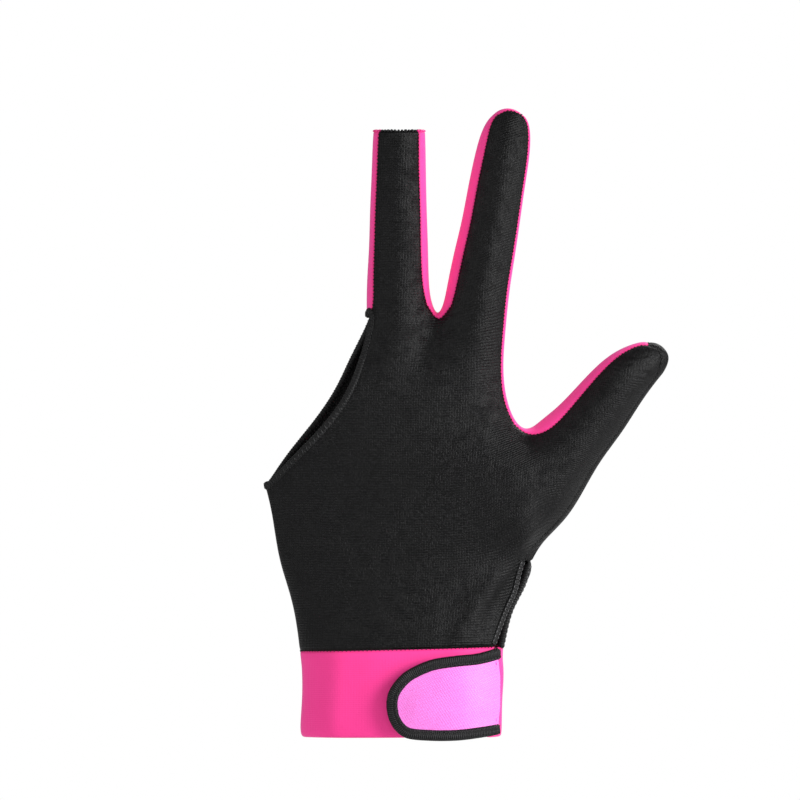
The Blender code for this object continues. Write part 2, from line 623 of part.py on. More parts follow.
class WristOval:
    """The outside of the cuff seen from above, by distance along it from the thumb side towards the back."""

    def __init__(self):
        left, back_right, over_left, over_back = (PALM_ROWS[2][n] for n in (0, 2, 6, 7))
        back, palm = PALM_ROWS[2][9:]
        right = back_right + (back_right - left) * over_back
        left -= (right - left) * over_left
        self.middle = (left + right) / 2.0 * GLOVE_WIDTH
        self.half_width = (right - left) / 2.0 * GLOVE_WIDTH
        self.angles = np.linspace(-0.9, math.pi, 700)
        self.points = np.array([self.at_angle(angle, back, palm) for angle in self.angles])
        steps = np.linalg.norm(np.diff(self.points, axis=0), axis=1)
        self.lengths = np.concatenate([[0.0], np.cumsum(steps)])
        self.lengths -= np.interp(0.0, self.angles, self.lengths)
        self.sewn_length = self.length_at_x(STRAP_ROWS[0][0] * GLOVE_WIDTH, STRAP_SEWN_CLEARANCE + STRAP_WALL)

    def at_angle(self, angle, back, palm):
        power = 2.0 / HAND_SQUARENESS
        cosine, sine = math.cos(angle), math.sin(angle)
        depth = (back if sine > 0 else palm) * GLOVE_DEPTH
        x = self.middle + self.half_width * math.copysign(abs(cosine) ** power, cosine)
        return np.array([x, -depth * math.copysign(abs(sine) ** power, sine)])

    def length_at_x(self, x, height):
        """How far along a point that stands off by this height has this x."""
        lengths = np.linspace(-0.004, self.lengths[-1] - 0.004, 400)
        raised = np.array([self.at(length, height, 0.0)[0] for length in lengths])
        return float(np.interp(-x, -raised, lengths))

    def at(self, length, height, z):
        """The point at this distance along, standing off by this height."""
        here = np.array([np.interp(length, self.lengths, self.points[:, k]) for k in (0, 1)])
        ahead = np.array([np.interp(length + 0.002, self.lengths, self.points[:, k]) for k in (0, 1)])
        behind = np.array([np.interp(length - 0.002, self.lengths, self.points[:, k]) for k in (0, 1)])
        along = (ahead - behind) / np.linalg.norm(ahead - behind)
        out = np.array([-along[1], along[0]])
        out = out if np.dot(out, here - np.array([self.middle, 0.0])) > 0 else -out
        return np.array([*(here + out * height), z])


def spline(rows, count):
    """A smooth run of points through table rows."""
    rows = np.array(rows, float)
    padded = np.vstack([2 * rows[0] - rows[1], rows, 2 * rows[-1] - rows[-2]])
    out = []
    for t in np.linspace(0.0, len(rows) - 1.0, count):
        k = min(int(t), len(rows) - 2)
        f = t - k
        a, b, c, e = padded[k : k + 4]
        out.append(0.5 * (2 * b + (c - a) * f + (2 * a - 5 * b + 4 * c - e) * f**2 + (3 * b - a - 3 * c + e) * f**3))
    return np.array(out)


def even_steps(path, count):
    steps = np.linalg.norm(np.diff(path, axis=0), axis=1)
    lengths = np.concatenate([[0.0], np.cumsum(steps)])
    wanted = np.linspace(0.0, lengths[-1], count)
    return np.column_stack([np.interp(wanted, lengths, path[:, k]) for k in range(path.shape[1])])


def strap_outline(oval, count):
    """Flat outline of the strap, as distance along the wrist and height, from its top edge round to its bottom."""
    heights = [STRAP_CLEARANCE + STRAP_WALL] * len(STRAP_ROWS)
    heights[0] = STRAP_SEWN_CLEARANCE + STRAP_WALL
    lengths = [oval.length_at_x(x * GLOVE_WIDTH, height) for (x, _, _), height in zip(STRAP_ROWS, heights)]
    rows = [(s, top * GLOVE_HEIGHT, low * GLOVE_HEIGHT) for s, (_, top, low) in zip(lengths, STRAP_ROWS)]
    upper = [(s, top) for s, top, _ in rows]
    lower = [(s, low) for s, _, low in reversed(rows)]
    return even_steps(np.vstack([spline(upper, 200), spline(lower, 200)]), count)


def inset_path(path, size):
    """A flat path moved towards the strap's middle by this size, with the way in at each of its points."""
    along = np.gradient(path, axis=0)
    along /= np.linalg.norm(along, axis=1)[:, None]
    inwards = np.column_stack([along[:, 1], -along[:, 0]])
    inwards[0], inwards[-1] = (0.0, -1.0), (0.0, 1.0)
    return path + inwards * size, inwards


def strap_height(oval, length):
    """The strap's sewn end lies nearer the cuff than its tongue over the hook patch."""
    share = smooth((length - oval.sewn_length) / STRAP_RISE)
    return STRAP_SEWN_CLEARANCE + (STRAP_CLEARANCE - STRAP_SEWN_CLEARANCE) * share


def slab(name, outer, inner, material):
    """A closed solid between two grids of points."""
    rows, columns = outer.shape[:2]
    count = rows * columns
    faces = []
    for i in range(rows - 1):
        for j in range(columns - 1):
            n = i * columns + j
            face = (n, n + 1, n + columns + 1, n + columns)
            faces.append(face)
            faces.append(tuple(m + count for m in reversed(face)))
    rim = [(0, j) for j in range(columns)] + [(i, columns - 1) for i in range(1, rows)]
    rim += [(rows - 1, j) for j in range(columns - 2, -1, -1)] + [(i, 0) for i in range(rows - 2, 0, -1)]
    rim = [i * columns + j for i, j in rim]
    for a, b in zip(rim, rim[1:] + rim[:1]):
        faces.append((b, a, a + count, b + count))
    return make_object(name, np.vstack([outer.reshape(-1, 3), inner.reshape(-1, 3)]), faces, material)


def add_strap(oval, count, across, materials):
    outline = strap_outline(oval, count)
    inner_path, _ = inset_path(outline, BINDING_WIDTH + SEAM_GAP)
    pairs = len(inner_path) // 2
    outer, inner = [], []
    for n in range(pairs):
        line = [inner_path[n] + (inner_path[-1 - n] - inner_path[n]) * k / across for k in range(across + 1)]
        outer.append([oval.at(s, strap_height(oval, s) + STRAP_WALL, z) for s, z in line])
        inner.append([oval.at(s, strap_height(oval, s), z) for s, z in line])
    slab("strap", np.array(outer), np.array(inner), materials["strap"])
    points = np.array([oval.at(s, strap_height(oval, s) + STRAP_WALL, z) for s, z in outline])
    lowered = np.array([oval.at(s, strap_height(oval, s), z) for s, z in outline])
    normals = (points - lowered) / STRAP_WALL
    moved, _ = inset_path(outline, BINDING_WIDTH)
    ahead = np.array([oval.at(s, strap_height(oval, s) + STRAP_WALL, z) for s, z in moved])
    inwards = (ahead - points) / BINDING_WIDTH
    edge_band(
        "strap_binding", points, inwards, normals, BINDING_WIDTH, BINDING_LIFT, STRAP_WALL, False, materials["strap_binding"]
    )


def add_hook_patch(oval, material):
    middle = oval.length_at_x(HOOK_PATCH_PLACE[0] * GLOVE_WIDTH, HOOK_PATCH_CLEARANCE)
    height = HOOK_PATCH_PLACE[1] * GLOVE_HEIGHT
    lengths = np.linspace(middle - HOOK_PATCH_WIDTH / 2.0, middle + HOOK_PATCH_WIDTH / 2.0, 9)
    heights = np.linspace(height - HOOK_PATCH_HEIGHT / 2.0, height + HOOK_PATCH_HEIGHT / 2.0, 4)
    top = HOOK_PATCH_CLEARANCE + HOOK_PATCH_WALL
    outer = np.array([[oval.at(s, top, z) for z in heights] for s in lengths])
    inner = np.array([[oval.at(s, HOOK_PATCH_CLEARANCE, z) for z in heights] for s in lengths])
    slab("hook_patch", outer, inner, material)


BLACK, PINK = (0.013, 0.013, 0.014), (1.0, 0.045, 0.30)
COLOURS = {
    "back_panel": BLACK,
    "palm_panel": BLACK,
    "fourchette_outer_middle": PINK,
    "fourchette_middle_index": PINK,
    "fourchette_index_thumb": PINK,
    "opening_hem": (0.008, 0.008, 0.009),
    "slit_binding_back": (0.010, 0.010, 0.011),
    "slit_binding_palm": (0.010, 0.010, 0.011),
    "cuff": PINK,
    "strap": (1.0, 0.16, 0.72),
    "strap_binding": (0.007, 0.007, 0.008),
    "hook_patch": (0.02, 0.02, 0.02),
}


def make_materials():
    made = {}
    for name, colour in COLOURS.items():
        material = bpy.data.materials.new(name)
        material.use_nodes = True
        shader = material.node_tree.nodes["Principled BSDF"]
        shader.inputs["Base Color"].default_value = (*colour, 1.0)
        shader.inputs["Roughness"].default_value = 0.75
        made[name] = material
    return made


def main():
    for old in list(bpy.data.objects):
        bpy.data.objects.remove(old)
    materials = make_materials()
    skin = Skin(SKIN_LEVELS)
    for name in sorted({PIECE_OF.get(owner, owner) for owner in skin.names}):
        panel(name, skin, CUFF_WALL if name == "cuff" else FABRIC_WALL, materials[name])
    skin_band("opening_hem", skin, skin.opening_loop, True, HEM_WIDTH, HEM_LIFT, materials["opening_hem"])
    for layer in ("back", "palm"):
        name = "slit_binding_" + layer
        run = skin.slit_runs[layer + "_panel"]
        skin_band(name, skin, run, False, SLIT_BINDING_WIDTH, SLIT_BINDING_LIFT, materials[name])
    oval = WristOval()
    add_strap(oval, 52, 4, materials)
    add_hook_patch(oval, materials["hook_patch"])


main()
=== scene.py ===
"""Three-finger billiard glove for a left hand, dressed for its picture.

Metres, +Z towards the fingertips, the back of the hand facing -Y and the thumb at +X. The tables lay out
one smooth skin. Each panel of cloth is cut from it, and the hem, bindings, threads and strap are set on it.
"""

import math

import bpy
import mathutils
import numpy as np
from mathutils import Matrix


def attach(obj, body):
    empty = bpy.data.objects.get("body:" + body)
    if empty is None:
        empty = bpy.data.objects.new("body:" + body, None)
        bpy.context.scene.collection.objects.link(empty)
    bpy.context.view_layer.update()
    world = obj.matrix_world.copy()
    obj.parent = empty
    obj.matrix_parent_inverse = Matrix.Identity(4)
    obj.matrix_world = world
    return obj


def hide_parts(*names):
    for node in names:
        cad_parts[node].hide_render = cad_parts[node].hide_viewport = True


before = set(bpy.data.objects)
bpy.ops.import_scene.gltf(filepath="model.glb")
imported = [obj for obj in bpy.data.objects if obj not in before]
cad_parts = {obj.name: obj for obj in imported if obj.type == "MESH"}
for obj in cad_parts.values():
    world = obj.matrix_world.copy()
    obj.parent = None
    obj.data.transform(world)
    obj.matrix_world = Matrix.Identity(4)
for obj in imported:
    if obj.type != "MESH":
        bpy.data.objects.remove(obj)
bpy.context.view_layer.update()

# Overall sizes.
GLOVE_HEIGHT = 0.196
GLOVE_WIDTH = 0.125
GLOVE_DEPTH = 0.031

# Fabric and its edges.
FABRIC_WALL = 0.0012
CUFF_WALL = 0.0020
HEM_WIDTH = 0.0021
HEM_LIFT = 0.0004
SLIT_BINDING_WIDTH = 0.0022
SLIT_BINDING_LIFT = 0.0005
TONGUE_EDGE_SHARE = 0.6
STRAP_END_INSET = 0.0011
SLIT_BINDING_TRIM = 0.0006
SEAM_GAP = 0.00006
COVERED_EDGE_INSET = 0.0003
SEAM_DIP = 0.00016
SEAM_DIP_REACH = 0.00060
EDGE_ROUNDING = 0.92
BAND_FLATNESS = (0.65, 0.8)
# A binding's closed end: how far each of its last rings steps out, as shares of the wall, and their sizes.
BAND_END_STEPS = (0.35, 0.25)
BAND_END_SIZES = (0.45, 0.85)
# How far each kind of edge is drawn in. The hem and the bindings cover the first two.
COVERED_EDGES = ("opening", "slit")
EDGE_INSETS = {"opening": COVERED_EDGE_INSET, "slit": COVERED_EDGE_INSET, "seam": SEAM_GAP / 2.0}

# Strap.
STRAP_WALL = 0.0016
STRAP_CLEARANCE = 0.0019
STRAP_SEWN_CLEARANCE = 0.0009
STRAP_RISE = 0.012
BINDING_WIDTH = 0.0036
BINDING_LIFT = 0.0005
TONGUE_EDGE_SHARE = 0.6
STRAP_END_INSET = 0.0011
HOOK_PATCH_WALL = 0.0010
HOOK_PATCH_WIDTH = 0.018
HOOK_PATCH_HEIGHT = 0.012
HOOK_PATCH_CLEARANCE = 0.0004

# Shape of the sections.
HAND_SQUARENESS = 2.5
FINGER_SQUARENESS = 2.1
# Over this many rows the palm's depth turns into the depth of the finger bases.
FINGER_BLEND_ROWS = 3.2
FINGER_BLEND_POWER = 1.5
FINGER_BASE_DEPTH = 0.0092
WEB_DEPTH = 0.0042
PALM_OPENING_SHIFT = 0.0030
OPENING_SHIFT_WAY = (-1.0, 0.0, 0.6)
NOTCH_SHARE = (0.4, 0.0, 0.4)
SLIT_TURN_SHARE = 0.985
SKIN_LEVELS = 3
FITTING_ROUNDS = 6
FITTING_SHARE = 0.8
SIGHT_STEP = 0.002
LAYERS = (("back", -1.0), ("palm", 1.0))

# Widths are shares of GLOVE_WIDTH, heights shares of GLOVE_HEIGHT and depths shares of GLOVE_DEPTH.
# left x, left z, back right x, z, palm right x, z, hand beyond left, beyond back right,
# beyond palm right (shares of the row), half depth of the back, of the palm
PALM_ROWS = (
    (-0.2418, 0.0032, 0.1748, 0.0047, 0.2120, 0.0047, 0.008, 0.155, 0.010, 0.5452, 0.6258),
    (-0.2492, 0.0190, 0.1748, 0.0190, 0.2145, 0.0190, 0.008, 0.158, 0.012, 0.5677, 0.6484),
    (-0.2455, 0.0633, 0.1798, 0.0633, 0.2158, 0.0633, 0.008, 0.149, 0.012, 0.5677, 0.6484),
    (-0.2455, 0.1076, 0.1947, 0.1091, 0.2220, 0.1091, 0.008, 0.118, 0.012, 0.5645, 0.6452),
    (-0.2505, 0.1408, 0.2269, 0.1479, 0.2430, 0.1463, 0.008, 0.042, 0.012, 0.5645, 0.6452),
    (-0.2641, 0.2024, 0.2554, 0.2009, 0.2629, 0.2009, 0.008, 0.019, 0.010, 0.5000, 0.5968),
    (-0.2864, 0.2562, 0.2852, 0.2420, 0.2926, 0.2404, 0.008, 0.018, 0.010, 0.4516, 0.5484),
    (-0.3038, 0.3005, 0.3001, 0.2815, 0.3125, 0.2815, 0.008, 0.025, 0.018, 0.4258, 0.5161),
    (-0.3199, 0.3606, 0.2988, 0.3353, 0.3013, 0.3353, 0.008, 0.280, 0.280, 0.4129, 0.5032),
    (-0.3373, 0.4081, 0.2964, 0.3891, 0.2964, 0.3891, 0.010, 0.360, 0.360, 0.4065, 0.4903),
    (-0.2790, 0.4460, 0.2889, 0.4429, 0.2889, 0.4429, 0.140, 0.220, 0.220, 0.4000, 0.4710),
    (-0.2071, 0.4935, 0.2753, 0.4998, 0.2753, 0.4998, 0.360, 0.012, 0.012, 0.3935, 0.4516),
    (-0.1488, 0.5441, 0.2500, 0.5409, 0.2500, 0.5409, 0.500, 0.012, 0.012, 0.3871, 0.4323),
    (-0.1166, 0.5915, 0.2425, 0.5884, 0.2425, 0.5884, 0.360, 0.012, 0.012, 0.3742, 0.4065),
    (-0.0980, 0.6295, 0.2463, 0.6358, 0.2463, 0.6358, 0.140, 0.012, 0.012, 0.3484, 0.3742),
)
CUFF_CELLS = 4
FINGER_CELLS = 3
THUMB_CELLS = 4
THUMB_FIRST_ROW = 7
CORNER_ROW = 9

# The row where the fingers start: x, z, place across its finger (-1 to 1, 0 for the web).
BASE_ROW = (
    (-0.0831, 0.6722, -0.840),
    (-0.0384, 0.6817, -0.300),
    (0.0112, 0.6864, 0.320),
    (0.0583, 0.6896, 0.870),
    (0.0868, 0.6659, 0.000),
    (0.1178, 0.6880, -0.720),
    (0.1600, 0.6848, -0.280),
    (0.2096, 0.6833, 0.320),
    (0.2525, 0.6817, 0.955),
)
MIDDLE_FIRST, MIDDLE_LAST, WEB_COLUMN, INDEX_FIRST, INDEX_LAST = 0, 3, 4, 5, 8

# z, outline left x, back panel left x, back panel right x, outline right x, half depth, middle's depth
MIDDLE_ROWS = (
    (0.7212, -0.0905, -0.0756, 0.0484, 0.0632, 0.2806, 0.0000),
    (0.7782, -0.0856, -0.0732, 0.0434, 0.0608, 0.2677, 0.0065),
    (0.8351, -0.0831, -0.0707, 0.0422, 0.0575, 0.2581, 0.0161),
    (0.8920, -0.0794, -0.0670, 0.0392, 0.0558, 0.2484, 0.0290),
    (0.9363, -0.0769, -0.0645, 0.0384, 0.0546, 0.2419, 0.0419),
    (0.9632, -0.0744, -0.0620, 0.0384, 0.0533, 0.2387, 0.0516),
)
INDEX_ROWS = (
    (0.7212, 0.1091, 0.1314, 0.2599, 0.2646, 0.2806, 0.0000),
    (0.7687, 0.1245, 0.1476, 0.2721, 0.2760, 0.2710, 0.0065),
    (0.8193, 0.1433, 0.1657, 0.2845, 0.2874, 0.2613, 0.0161),
    (0.8699, 0.1587, 0.1805, 0.2959, 0.2988, 0.2516, 0.0290),
    (0.9173, 0.1741, 0.1959, 0.3068, 0.3100, 0.2355, 0.0452),
    (0.9537, 0.1892, 0.2083, 0.3107, 0.3137, 0.2097, 0.0581),
    (0.9774, 0.2066, 0.2182, 0.3063, 0.3075, 0.1677, 0.0645),
)

# back panel's end x, z, outline x, z, half depth
INDEX_TIP = (
    (0.2306, 0.9877, 0.2232, 0.9901, 0.0903),
    (0.2455, 0.9933, 0.2418, 0.9974, 0.0935),
    (0.2676, 0.9960, 0.2691, 0.9982, 0.0935),
    (0.2924, 0.9892, 0.2944, 0.9901, 0.0903),
)
THUMB_TIP = (
    (0.6076, 0.6240, 0.6076, 0.6298, 0.0968),
    (0.6262, 0.6200, 0.6324, 0.6266, 0.1032),
    (0.6386, 0.6113, 0.6530, 0.6145, 0.1032),
    (0.6398, 0.5994, 0.6579, 0.5994, 0.1032),
    (0.6349, 0.5852, 0.6473, 0.5828, 0.0968),
)

# outline upper x, z, back panel upper x, z, back panel outer x, z, outline outer x, z,
# half depth, middle's depth
THUMB_ROWS = (
    (0.3137, 0.4935, 0.3162, 0.4840, 0.3422, 0.3187, 0.3484, 0.3147, 0.3935, 0.0581),
    (0.3410, 0.5061, 0.3584, 0.4911, 0.3894, 0.3511, 0.3980, 0.3476, 0.3677, 0.0774),
    (0.3782, 0.5251, 0.3993, 0.5148, 0.4315, 0.3907, 0.4414, 0.3883, 0.3419, 0.0968),
    (0.4204, 0.5520, 0.4427, 0.5472, 0.4786, 0.4397, 0.4873, 0.4389, 0.3161, 0.1161),
    (0.4774, 0.5899, 0.4948, 0.5852, 0.5344, 0.4887, 0.5419, 0.4871, 0.2968, 0.1355),
    (0.5320, 0.6160, 0.5419, 0.6113, 0.5828, 0.5362, 0.5902, 0.5346, 0.2645, 0.1516),
    (0.5816, 0.6282, 0.5865, 0.6247, 0.6225, 0.5710, 0.6299, 0.5694, 0.2000, 0.1613),
)

# outline of the web between the fingers: x, z
WEB_RIM = (
    (-0.0918, 0.6674),
    (0.0719, 0.6880),
    (0.0848, 0.6769),
    (0.0980, 0.6896),
    (0.2572, 0.6817),
)

# Folds pressed into the skin: which face of the hand, half width, height, then x, z along the fold.
FOLDS = (
    ("back", 0.0839, 0.0258,
     ((0.2964, 0.2894), (0.2368, 0.2610), (0.1897, 0.2246), (0.1500, 0.1803), (0.1302, 0.1503))),
    ("back", 0.0677, -0.0242, ((0.2914, 0.2705), (0.2492, 0.2372), (0.2170, 0.1993), (0.2046, 0.1613))),
    ("back", 0.0484, 0.0145, ((0.2914, 0.2467), (0.2616, 0.2119), (0.2368, 0.1708))),
    ("back", 0.0484, 0.0129, ((0.2195, 0.2657), (0.2790, 0.3037), (0.3410, 0.3416), (0.3881, 0.3717))),
    ("back", 0.0387, -0.0113, ((0.2071, 0.2815), (0.2666, 0.3179), (0.3286, 0.3543))),
    ("back", 0.0452, 0.0097, ((0.1996, 0.2973), (0.2517, 0.3306), (0.3088, 0.3622))),
    ("palm", 0.1452, -0.0323, ((0.2468, 0.4397), (0.1798, 0.3796), (0.1451, 0.3005), (0.1451, 0.2088))),
    ("palm", 0.0839, -0.0177, ((-0.2021, 0.1550), (-0.0583, 0.1645), (0.0905, 0.1645), (0.1947, 0.1582))),
    ("palm", 0.0774, -0.0145, ((-0.1327, 0.5726), (-0.0087, 0.5567), (0.1153, 0.5726), (0.2096, 0.5979))),
)

# x, z of the top edge, z of the bottom edge
STRAP_ROWS = (
    (0.2356, 0.1463, 0.0095),
    (0.1848, 0.1384, 0.0047),
    (0.1302, 0.1352, 0.0013),
    (0.0657, 0.1286, 0.0013),
    (0.0087, 0.1123, 0.0052),
    (-0.0211, 0.0949, 0.0182),
    (-0.0372, 0.0783, 0.0364),
    (-0.0427, 0.0633, 0.0538),
)
HOOK_PATCH_PLACE = (0.1029, 0.0617)

# Camera, set back far enough to flatten the view as the picture does.
VIEW_MIDDLE_X = -0.0011
VIEW_MIDDLE_Z = 0.1054
VIEW_SIZE = 0.248
VIEW_DISTANCE = 4.0
SENSOR_MM = 36.0
FLOOR_HEIGHT = -0.135
FLOOR_REACH = 0.9
FLOOR_WALL = 0.01

# Name, place, height aimed at, size, watts.
LAMPS = (
    ("key_lamp", (1.45, -0.80, 0.52), 0.09, 1.10, 40.0),
    ("fill_lamp", (-1.5, -1.2, 0.9), 0.09, 0.90, 14.0),
    ("rim_lamp", (0.5, 0.9, 0.8), 0.10, 0.60, 4.0),
)
WORLD_LIGHT = 0.32

# Threads: how they are laid, in metres and degrees. Alternate is 1 where every other thread turns back.
STITCH_INPUTS = ("Pitch", "Length", "Width", "Height", "Turn", "Alternate", "Unevenness")
STITCHES = {
    "cuff_seam": (0.00130, 0.00062, 0.00030, 0.00034, 80, 0, 0.08),
    "panel_seam": (0.00120, 0.00070, 0.00030, 0.00030, 70, 0, 0.08),
    "toothed_seam": (0.00112, 0.00062, 0.00040, 0.00036, 78, 0, 0.18),
    "smooth_seam": (0.00112, 0.00034, 0.00040, 0.00036, 78, 0, 0.18),
    "hem_zigzag": (0.00088, 0.00210, 0.00034, 0.00034, 62, 1, 0.08),
    "hem_lock": (0.00100, 0.00105, 0.00032, 0.00036, 12, 0, 0.08),
    "hem_edge": (0.00088, 0.00042, 0.00155, 0.00044, 0, 0, 0.08),
    "topstitch": (0.00150, 0.00115, 0.00030, 0.00030, 0, 0, 0.08),
    "tip_overcast": (0.00108, 0.00100, 1.40 * FABRIC_WALL, 0.00095, 8, 1, 0.12),
    "binding_cords": (0.00062, 0.56 * BINDING_WIDTH, 0.00042, 0.00044, 84, 0, 0.06),
    "binding_zigzag": (0.00068, 0.00105, 0.00034, 0.00036, 50, 1, 0.08),
    "strap_end": (0.00170, 0.00120, 0.00030, 0.00030, 0, 0, 0.08),
}
# The finish and the slot of each mesh of threads.
THREADS = {
    "seam_threads_black": ("black_thread", "black_binding"),
    "hem_threads": ("black_thread", "black_binding"),
    "tip_threads_black": ("black_thread", "black_binding"),
    "tip_threads_pink": ("pink_thread", "pink_fabric"),
    "slit_topstitching": ("light_thread", "black_binding"),
    "strap_binding_cords": ("cord_thread", "black_binding"),
    "strap_end_threads": ("strap_thread", "strap_fabric"),
}
THREAD_SINK = 0.75
HEM_SINK = 0.00005
CORD_SINK = 0.00004
TOPSTITCH_PLACES = (0.22, 0.80)
# Seams on the middle finger's side of this x show teeth.
MIDDLE_FINGER_SIDE = 0.012


def place(x, z):
    """A point in the glove's middle plane, from its shares of the width and the height."""
    return np.array([x * GLOVE_WIDTH, 0.0, z * GLOVE_HEIGHT])


def depth_at(across, squareness):
    """Half depth of a section of width 2 and half depth 1."""
    return max(1.0 - min(abs(across), 1.0) ** squareness, 0.0) ** (1.0 / squareness)


def smooth(t):
    """From 0 to 1 with soft ends."""
    t = min(max(t, 0.0), 1.0)
    return t * t * (3.0 - 2.0 * t)


class Cage:
    """Named points, and four-sided faces that each belong to one piece."""

    def __init__(self):
        self.index = {}
        self.points = []
        self.faces = []
        self.owners = []

    def point(self, key, position):
        self.index[key] = len(self.points)
        self.points.append(position)

    def face(self, owner, keys):
        self.faces.append([self.index[key] for key in keys])
        self.owners.append(owner)

    def grid(self, owner, layer, key_of, across, along):
        """Faces of one block, turned so that the back faces -Y and the palm +Y."""
        for i in range(across):
            for j in range(along):
                owned_by = owner(j) if callable(owner) else owner
                corners = [key_of(i, j), key_of(i + 1, j), key_of(i + 1, j + 1), key_of(i, j + 1)]
                if layer == "palm":
                    corners.reverse()
                self.face(owned_by, [(layer, *corner) for corner in corners])

    def strip(self, owner, walk):
        """Side strip from the back to the palm along a walk that goes round the outline anticlockwise."""
        for a, b in zip(walk[:-1], walk[1:]):
            self.face(owner, [("back", *a), ("rim", *a), ("rim", *b), ("back", *b)])
            self.face(owner, [("rim", *a), ("palm", *a), ("palm", *b), ("rim", *b)])


# The palm panel turns round the thumb's outer edge and tip.
PIECE_OF = {"thumb_turn": "palm_panel"}

TOP = len(PALM_ROWS)
COLUMNS = len(BASE_ROW) - 1


def middle_key(i, j):
    return ("hand", MIDDLE_FIRST + i, TOP) if j == 0 else ("middle", i, j)


def index_key(i, j):
    return ("hand", INDEX_FIRST + i, TOP) if j == 0 else ("index", i, j)


def thumb_key(i, j):
    """Column 0 is the thumb's upper edge, and the last column is its outer edge."""
    return ("hand", COLUMNS, THUMB_FIRST_ROW + THUMB_CELLS - i) if j == 0 else ("thumb", i, j)


def add_hand(cage):
    """The cuff and the hand up to the finger bases, row by row from the wrist."""
    base = [place(x, z) for x, z, _ in BASE_ROW]
    span = base[-1][0] - base[0][0]
    base_share = [(p[0] - base[0][0]) / span for p in base]
    base_depth = [FINGER_BASE_DEPTH * depth_at(across, 2.0) for _, _, across in BASE_ROW]
    base_depth[WEB_COLUMN] = WEB_DEPTH
    for row, sizes in enumerate(PALM_ROWS):
        left_x, left_z, back_x, back_z, palm_x, palm_z, over_left, over_back, over_palm, back, palm = sizes
        towards_fingers = smooth((row - CUFF_CELLS) / (TOP - CUFF_CELLS))
        finger_depth = max(0.0, 1.0 - (TOP - row) / FINGER_BLEND_ROWS) ** FINGER_BLEND_POWER
        sides = (
            ("back", -1.0, place(back_x, back_z), over_back, back * GLOVE_DEPTH),
            ("palm", 1.0, place(palm_x, palm_z), over_palm, palm * GLOVE_DEPTH),
        )
        for layer, side, right, over_right, half_depth in sides:
            left = place(left_x, left_z)
            if layer == "palm" and row > CORNER_ROW:
                turn = math.pi * (row - CORNER_ROW) / (TOP - CORNER_ROW)
                left = left + np.array(OPENING_SHIFT_WAY) * PALM_OPENING_SHIFT * math.sin(turn)
            wraps = layer == "palm" and row <= THUMB_FIRST_ROW
            turn_share = 1.0 if row < CUFF_CELLS else SLIT_TURN_SHARE
            if wraps:
                back_end = place(back_x, back_z)
                edge, right, over_right = right, back_end + (back_end - left) * over_back, 0.0
            for column in range(COLUMNS + 1):
                even = column * (turn_share / (COLUMNS - 1) if wraps else 1.0 / COLUMNS)
                share = even + (base_share[column] - even) * towards_fingers * (not wraps)
                position = left + (right - left) * share
                across = 2.0 * (over_left + share) / (1.0 + over_left + over_right) - 1.0
                depth = half_depth * depth_at(across, HAND_SQUARENESS)
                depth += (base_depth[column] - depth) * finger_depth
                position[1] = side * depth
                if wraps and column == COLUMNS:
                    across = 1.0 - 2.0 * (right[0] - edge[0]) / (right[0] - left[0])
                    depth = back * GLOVE_DEPTH * depth_at(across, HAND_SQUARENESS)
                    position = edge - np.array([0.0, depth, 0.0])
                cage.point((layer, "hand", column, row), position)
        left, right = place(left_x, left_z), place(palm_x, palm_z)
        cage.point(("rim", "hand", 0, row), left - (right - left) * over_left)
        rim = right + (right - left) * over_palm
        if row == THUMB_FIRST_ROW:
            ends = [cage.points[cage.index[(layer, "hand", COLUMNS, row)]] for layer in ("back", "palm")]
            rim = (ends[0] + ends[1]) / 2.0 + (rim - ends[0]) * np.array(NOTCH_SHARE)
        cage.point(("rim", "hand", COLUMNS, row), rim)
    for column, position in enumerate(base):
        for layer, side in LAYERS:
            out = np.array([0.0, side * base_depth[column], 0.0])
            cage.point((layer, "hand", column, TOP), position + out)
    for column, (x, z) in zip((MIDDLE_FIRST, MIDDLE_LAST, WEB_COLUMN, INDEX_FIRST, INDEX_LAST), WEB_RIM):
        cage.point(("rim", "hand", column, TOP), place(x, z))
    for layer, _ in LAYERS:
        cage.grid(
            lambda row: "cuff" if row < CUFF_CELLS else layer + "_panel",
            layer, lambda i, j: ("hand", i, j), COLUMNS, TOP,
        )


def add_section(cage, key_of, count, j, left_rim, left, right, right_rim, half_depth, middle):
    """One section of a finger: count points on the back and on the palm, and its two outline points."""
    width = np.linalg.norm(right_rim - left_rim)
    along = (right_rim - left_rim) / width
    for i in range(count):
        position = left + (right - left) * i / (count - 1)
        across = 2.0 * np.dot(position - left_rim, along) / width - 1.0
        depth = half_depth * depth_at(across, FINGER_SQUARENESS)
        for layer, side in LAYERS:
            cage.point((layer, *key_of(i, j)), position + np.array([0.0, middle + side * depth, 0.0]))
    for i, rim in ((0, left_rim), (count - 1, right_rim)):
        cage.point(("rim", *key_of(i, j)), rim + np.array([0.0, middle, 0.0]))


def add_tip(cage, key_of, j, table, middle):
    """The closed end of a finger, along the edge of its back panel and its outline."""
    for i, (x, z, rim_x, rim_z, half_depth) in enumerate(table):
        for layer, side in LAYERS:
            across = np.array([0.0, middle + side * half_depth * GLOVE_DEPTH, 0.0])
            cage.point((layer, *key_of(i, j)), place(x, z) + across)
        cage.point(("rim", *key_of(i, j)), place(rim_x, rim_z) + np.array([0.0, middle, 0.0]))


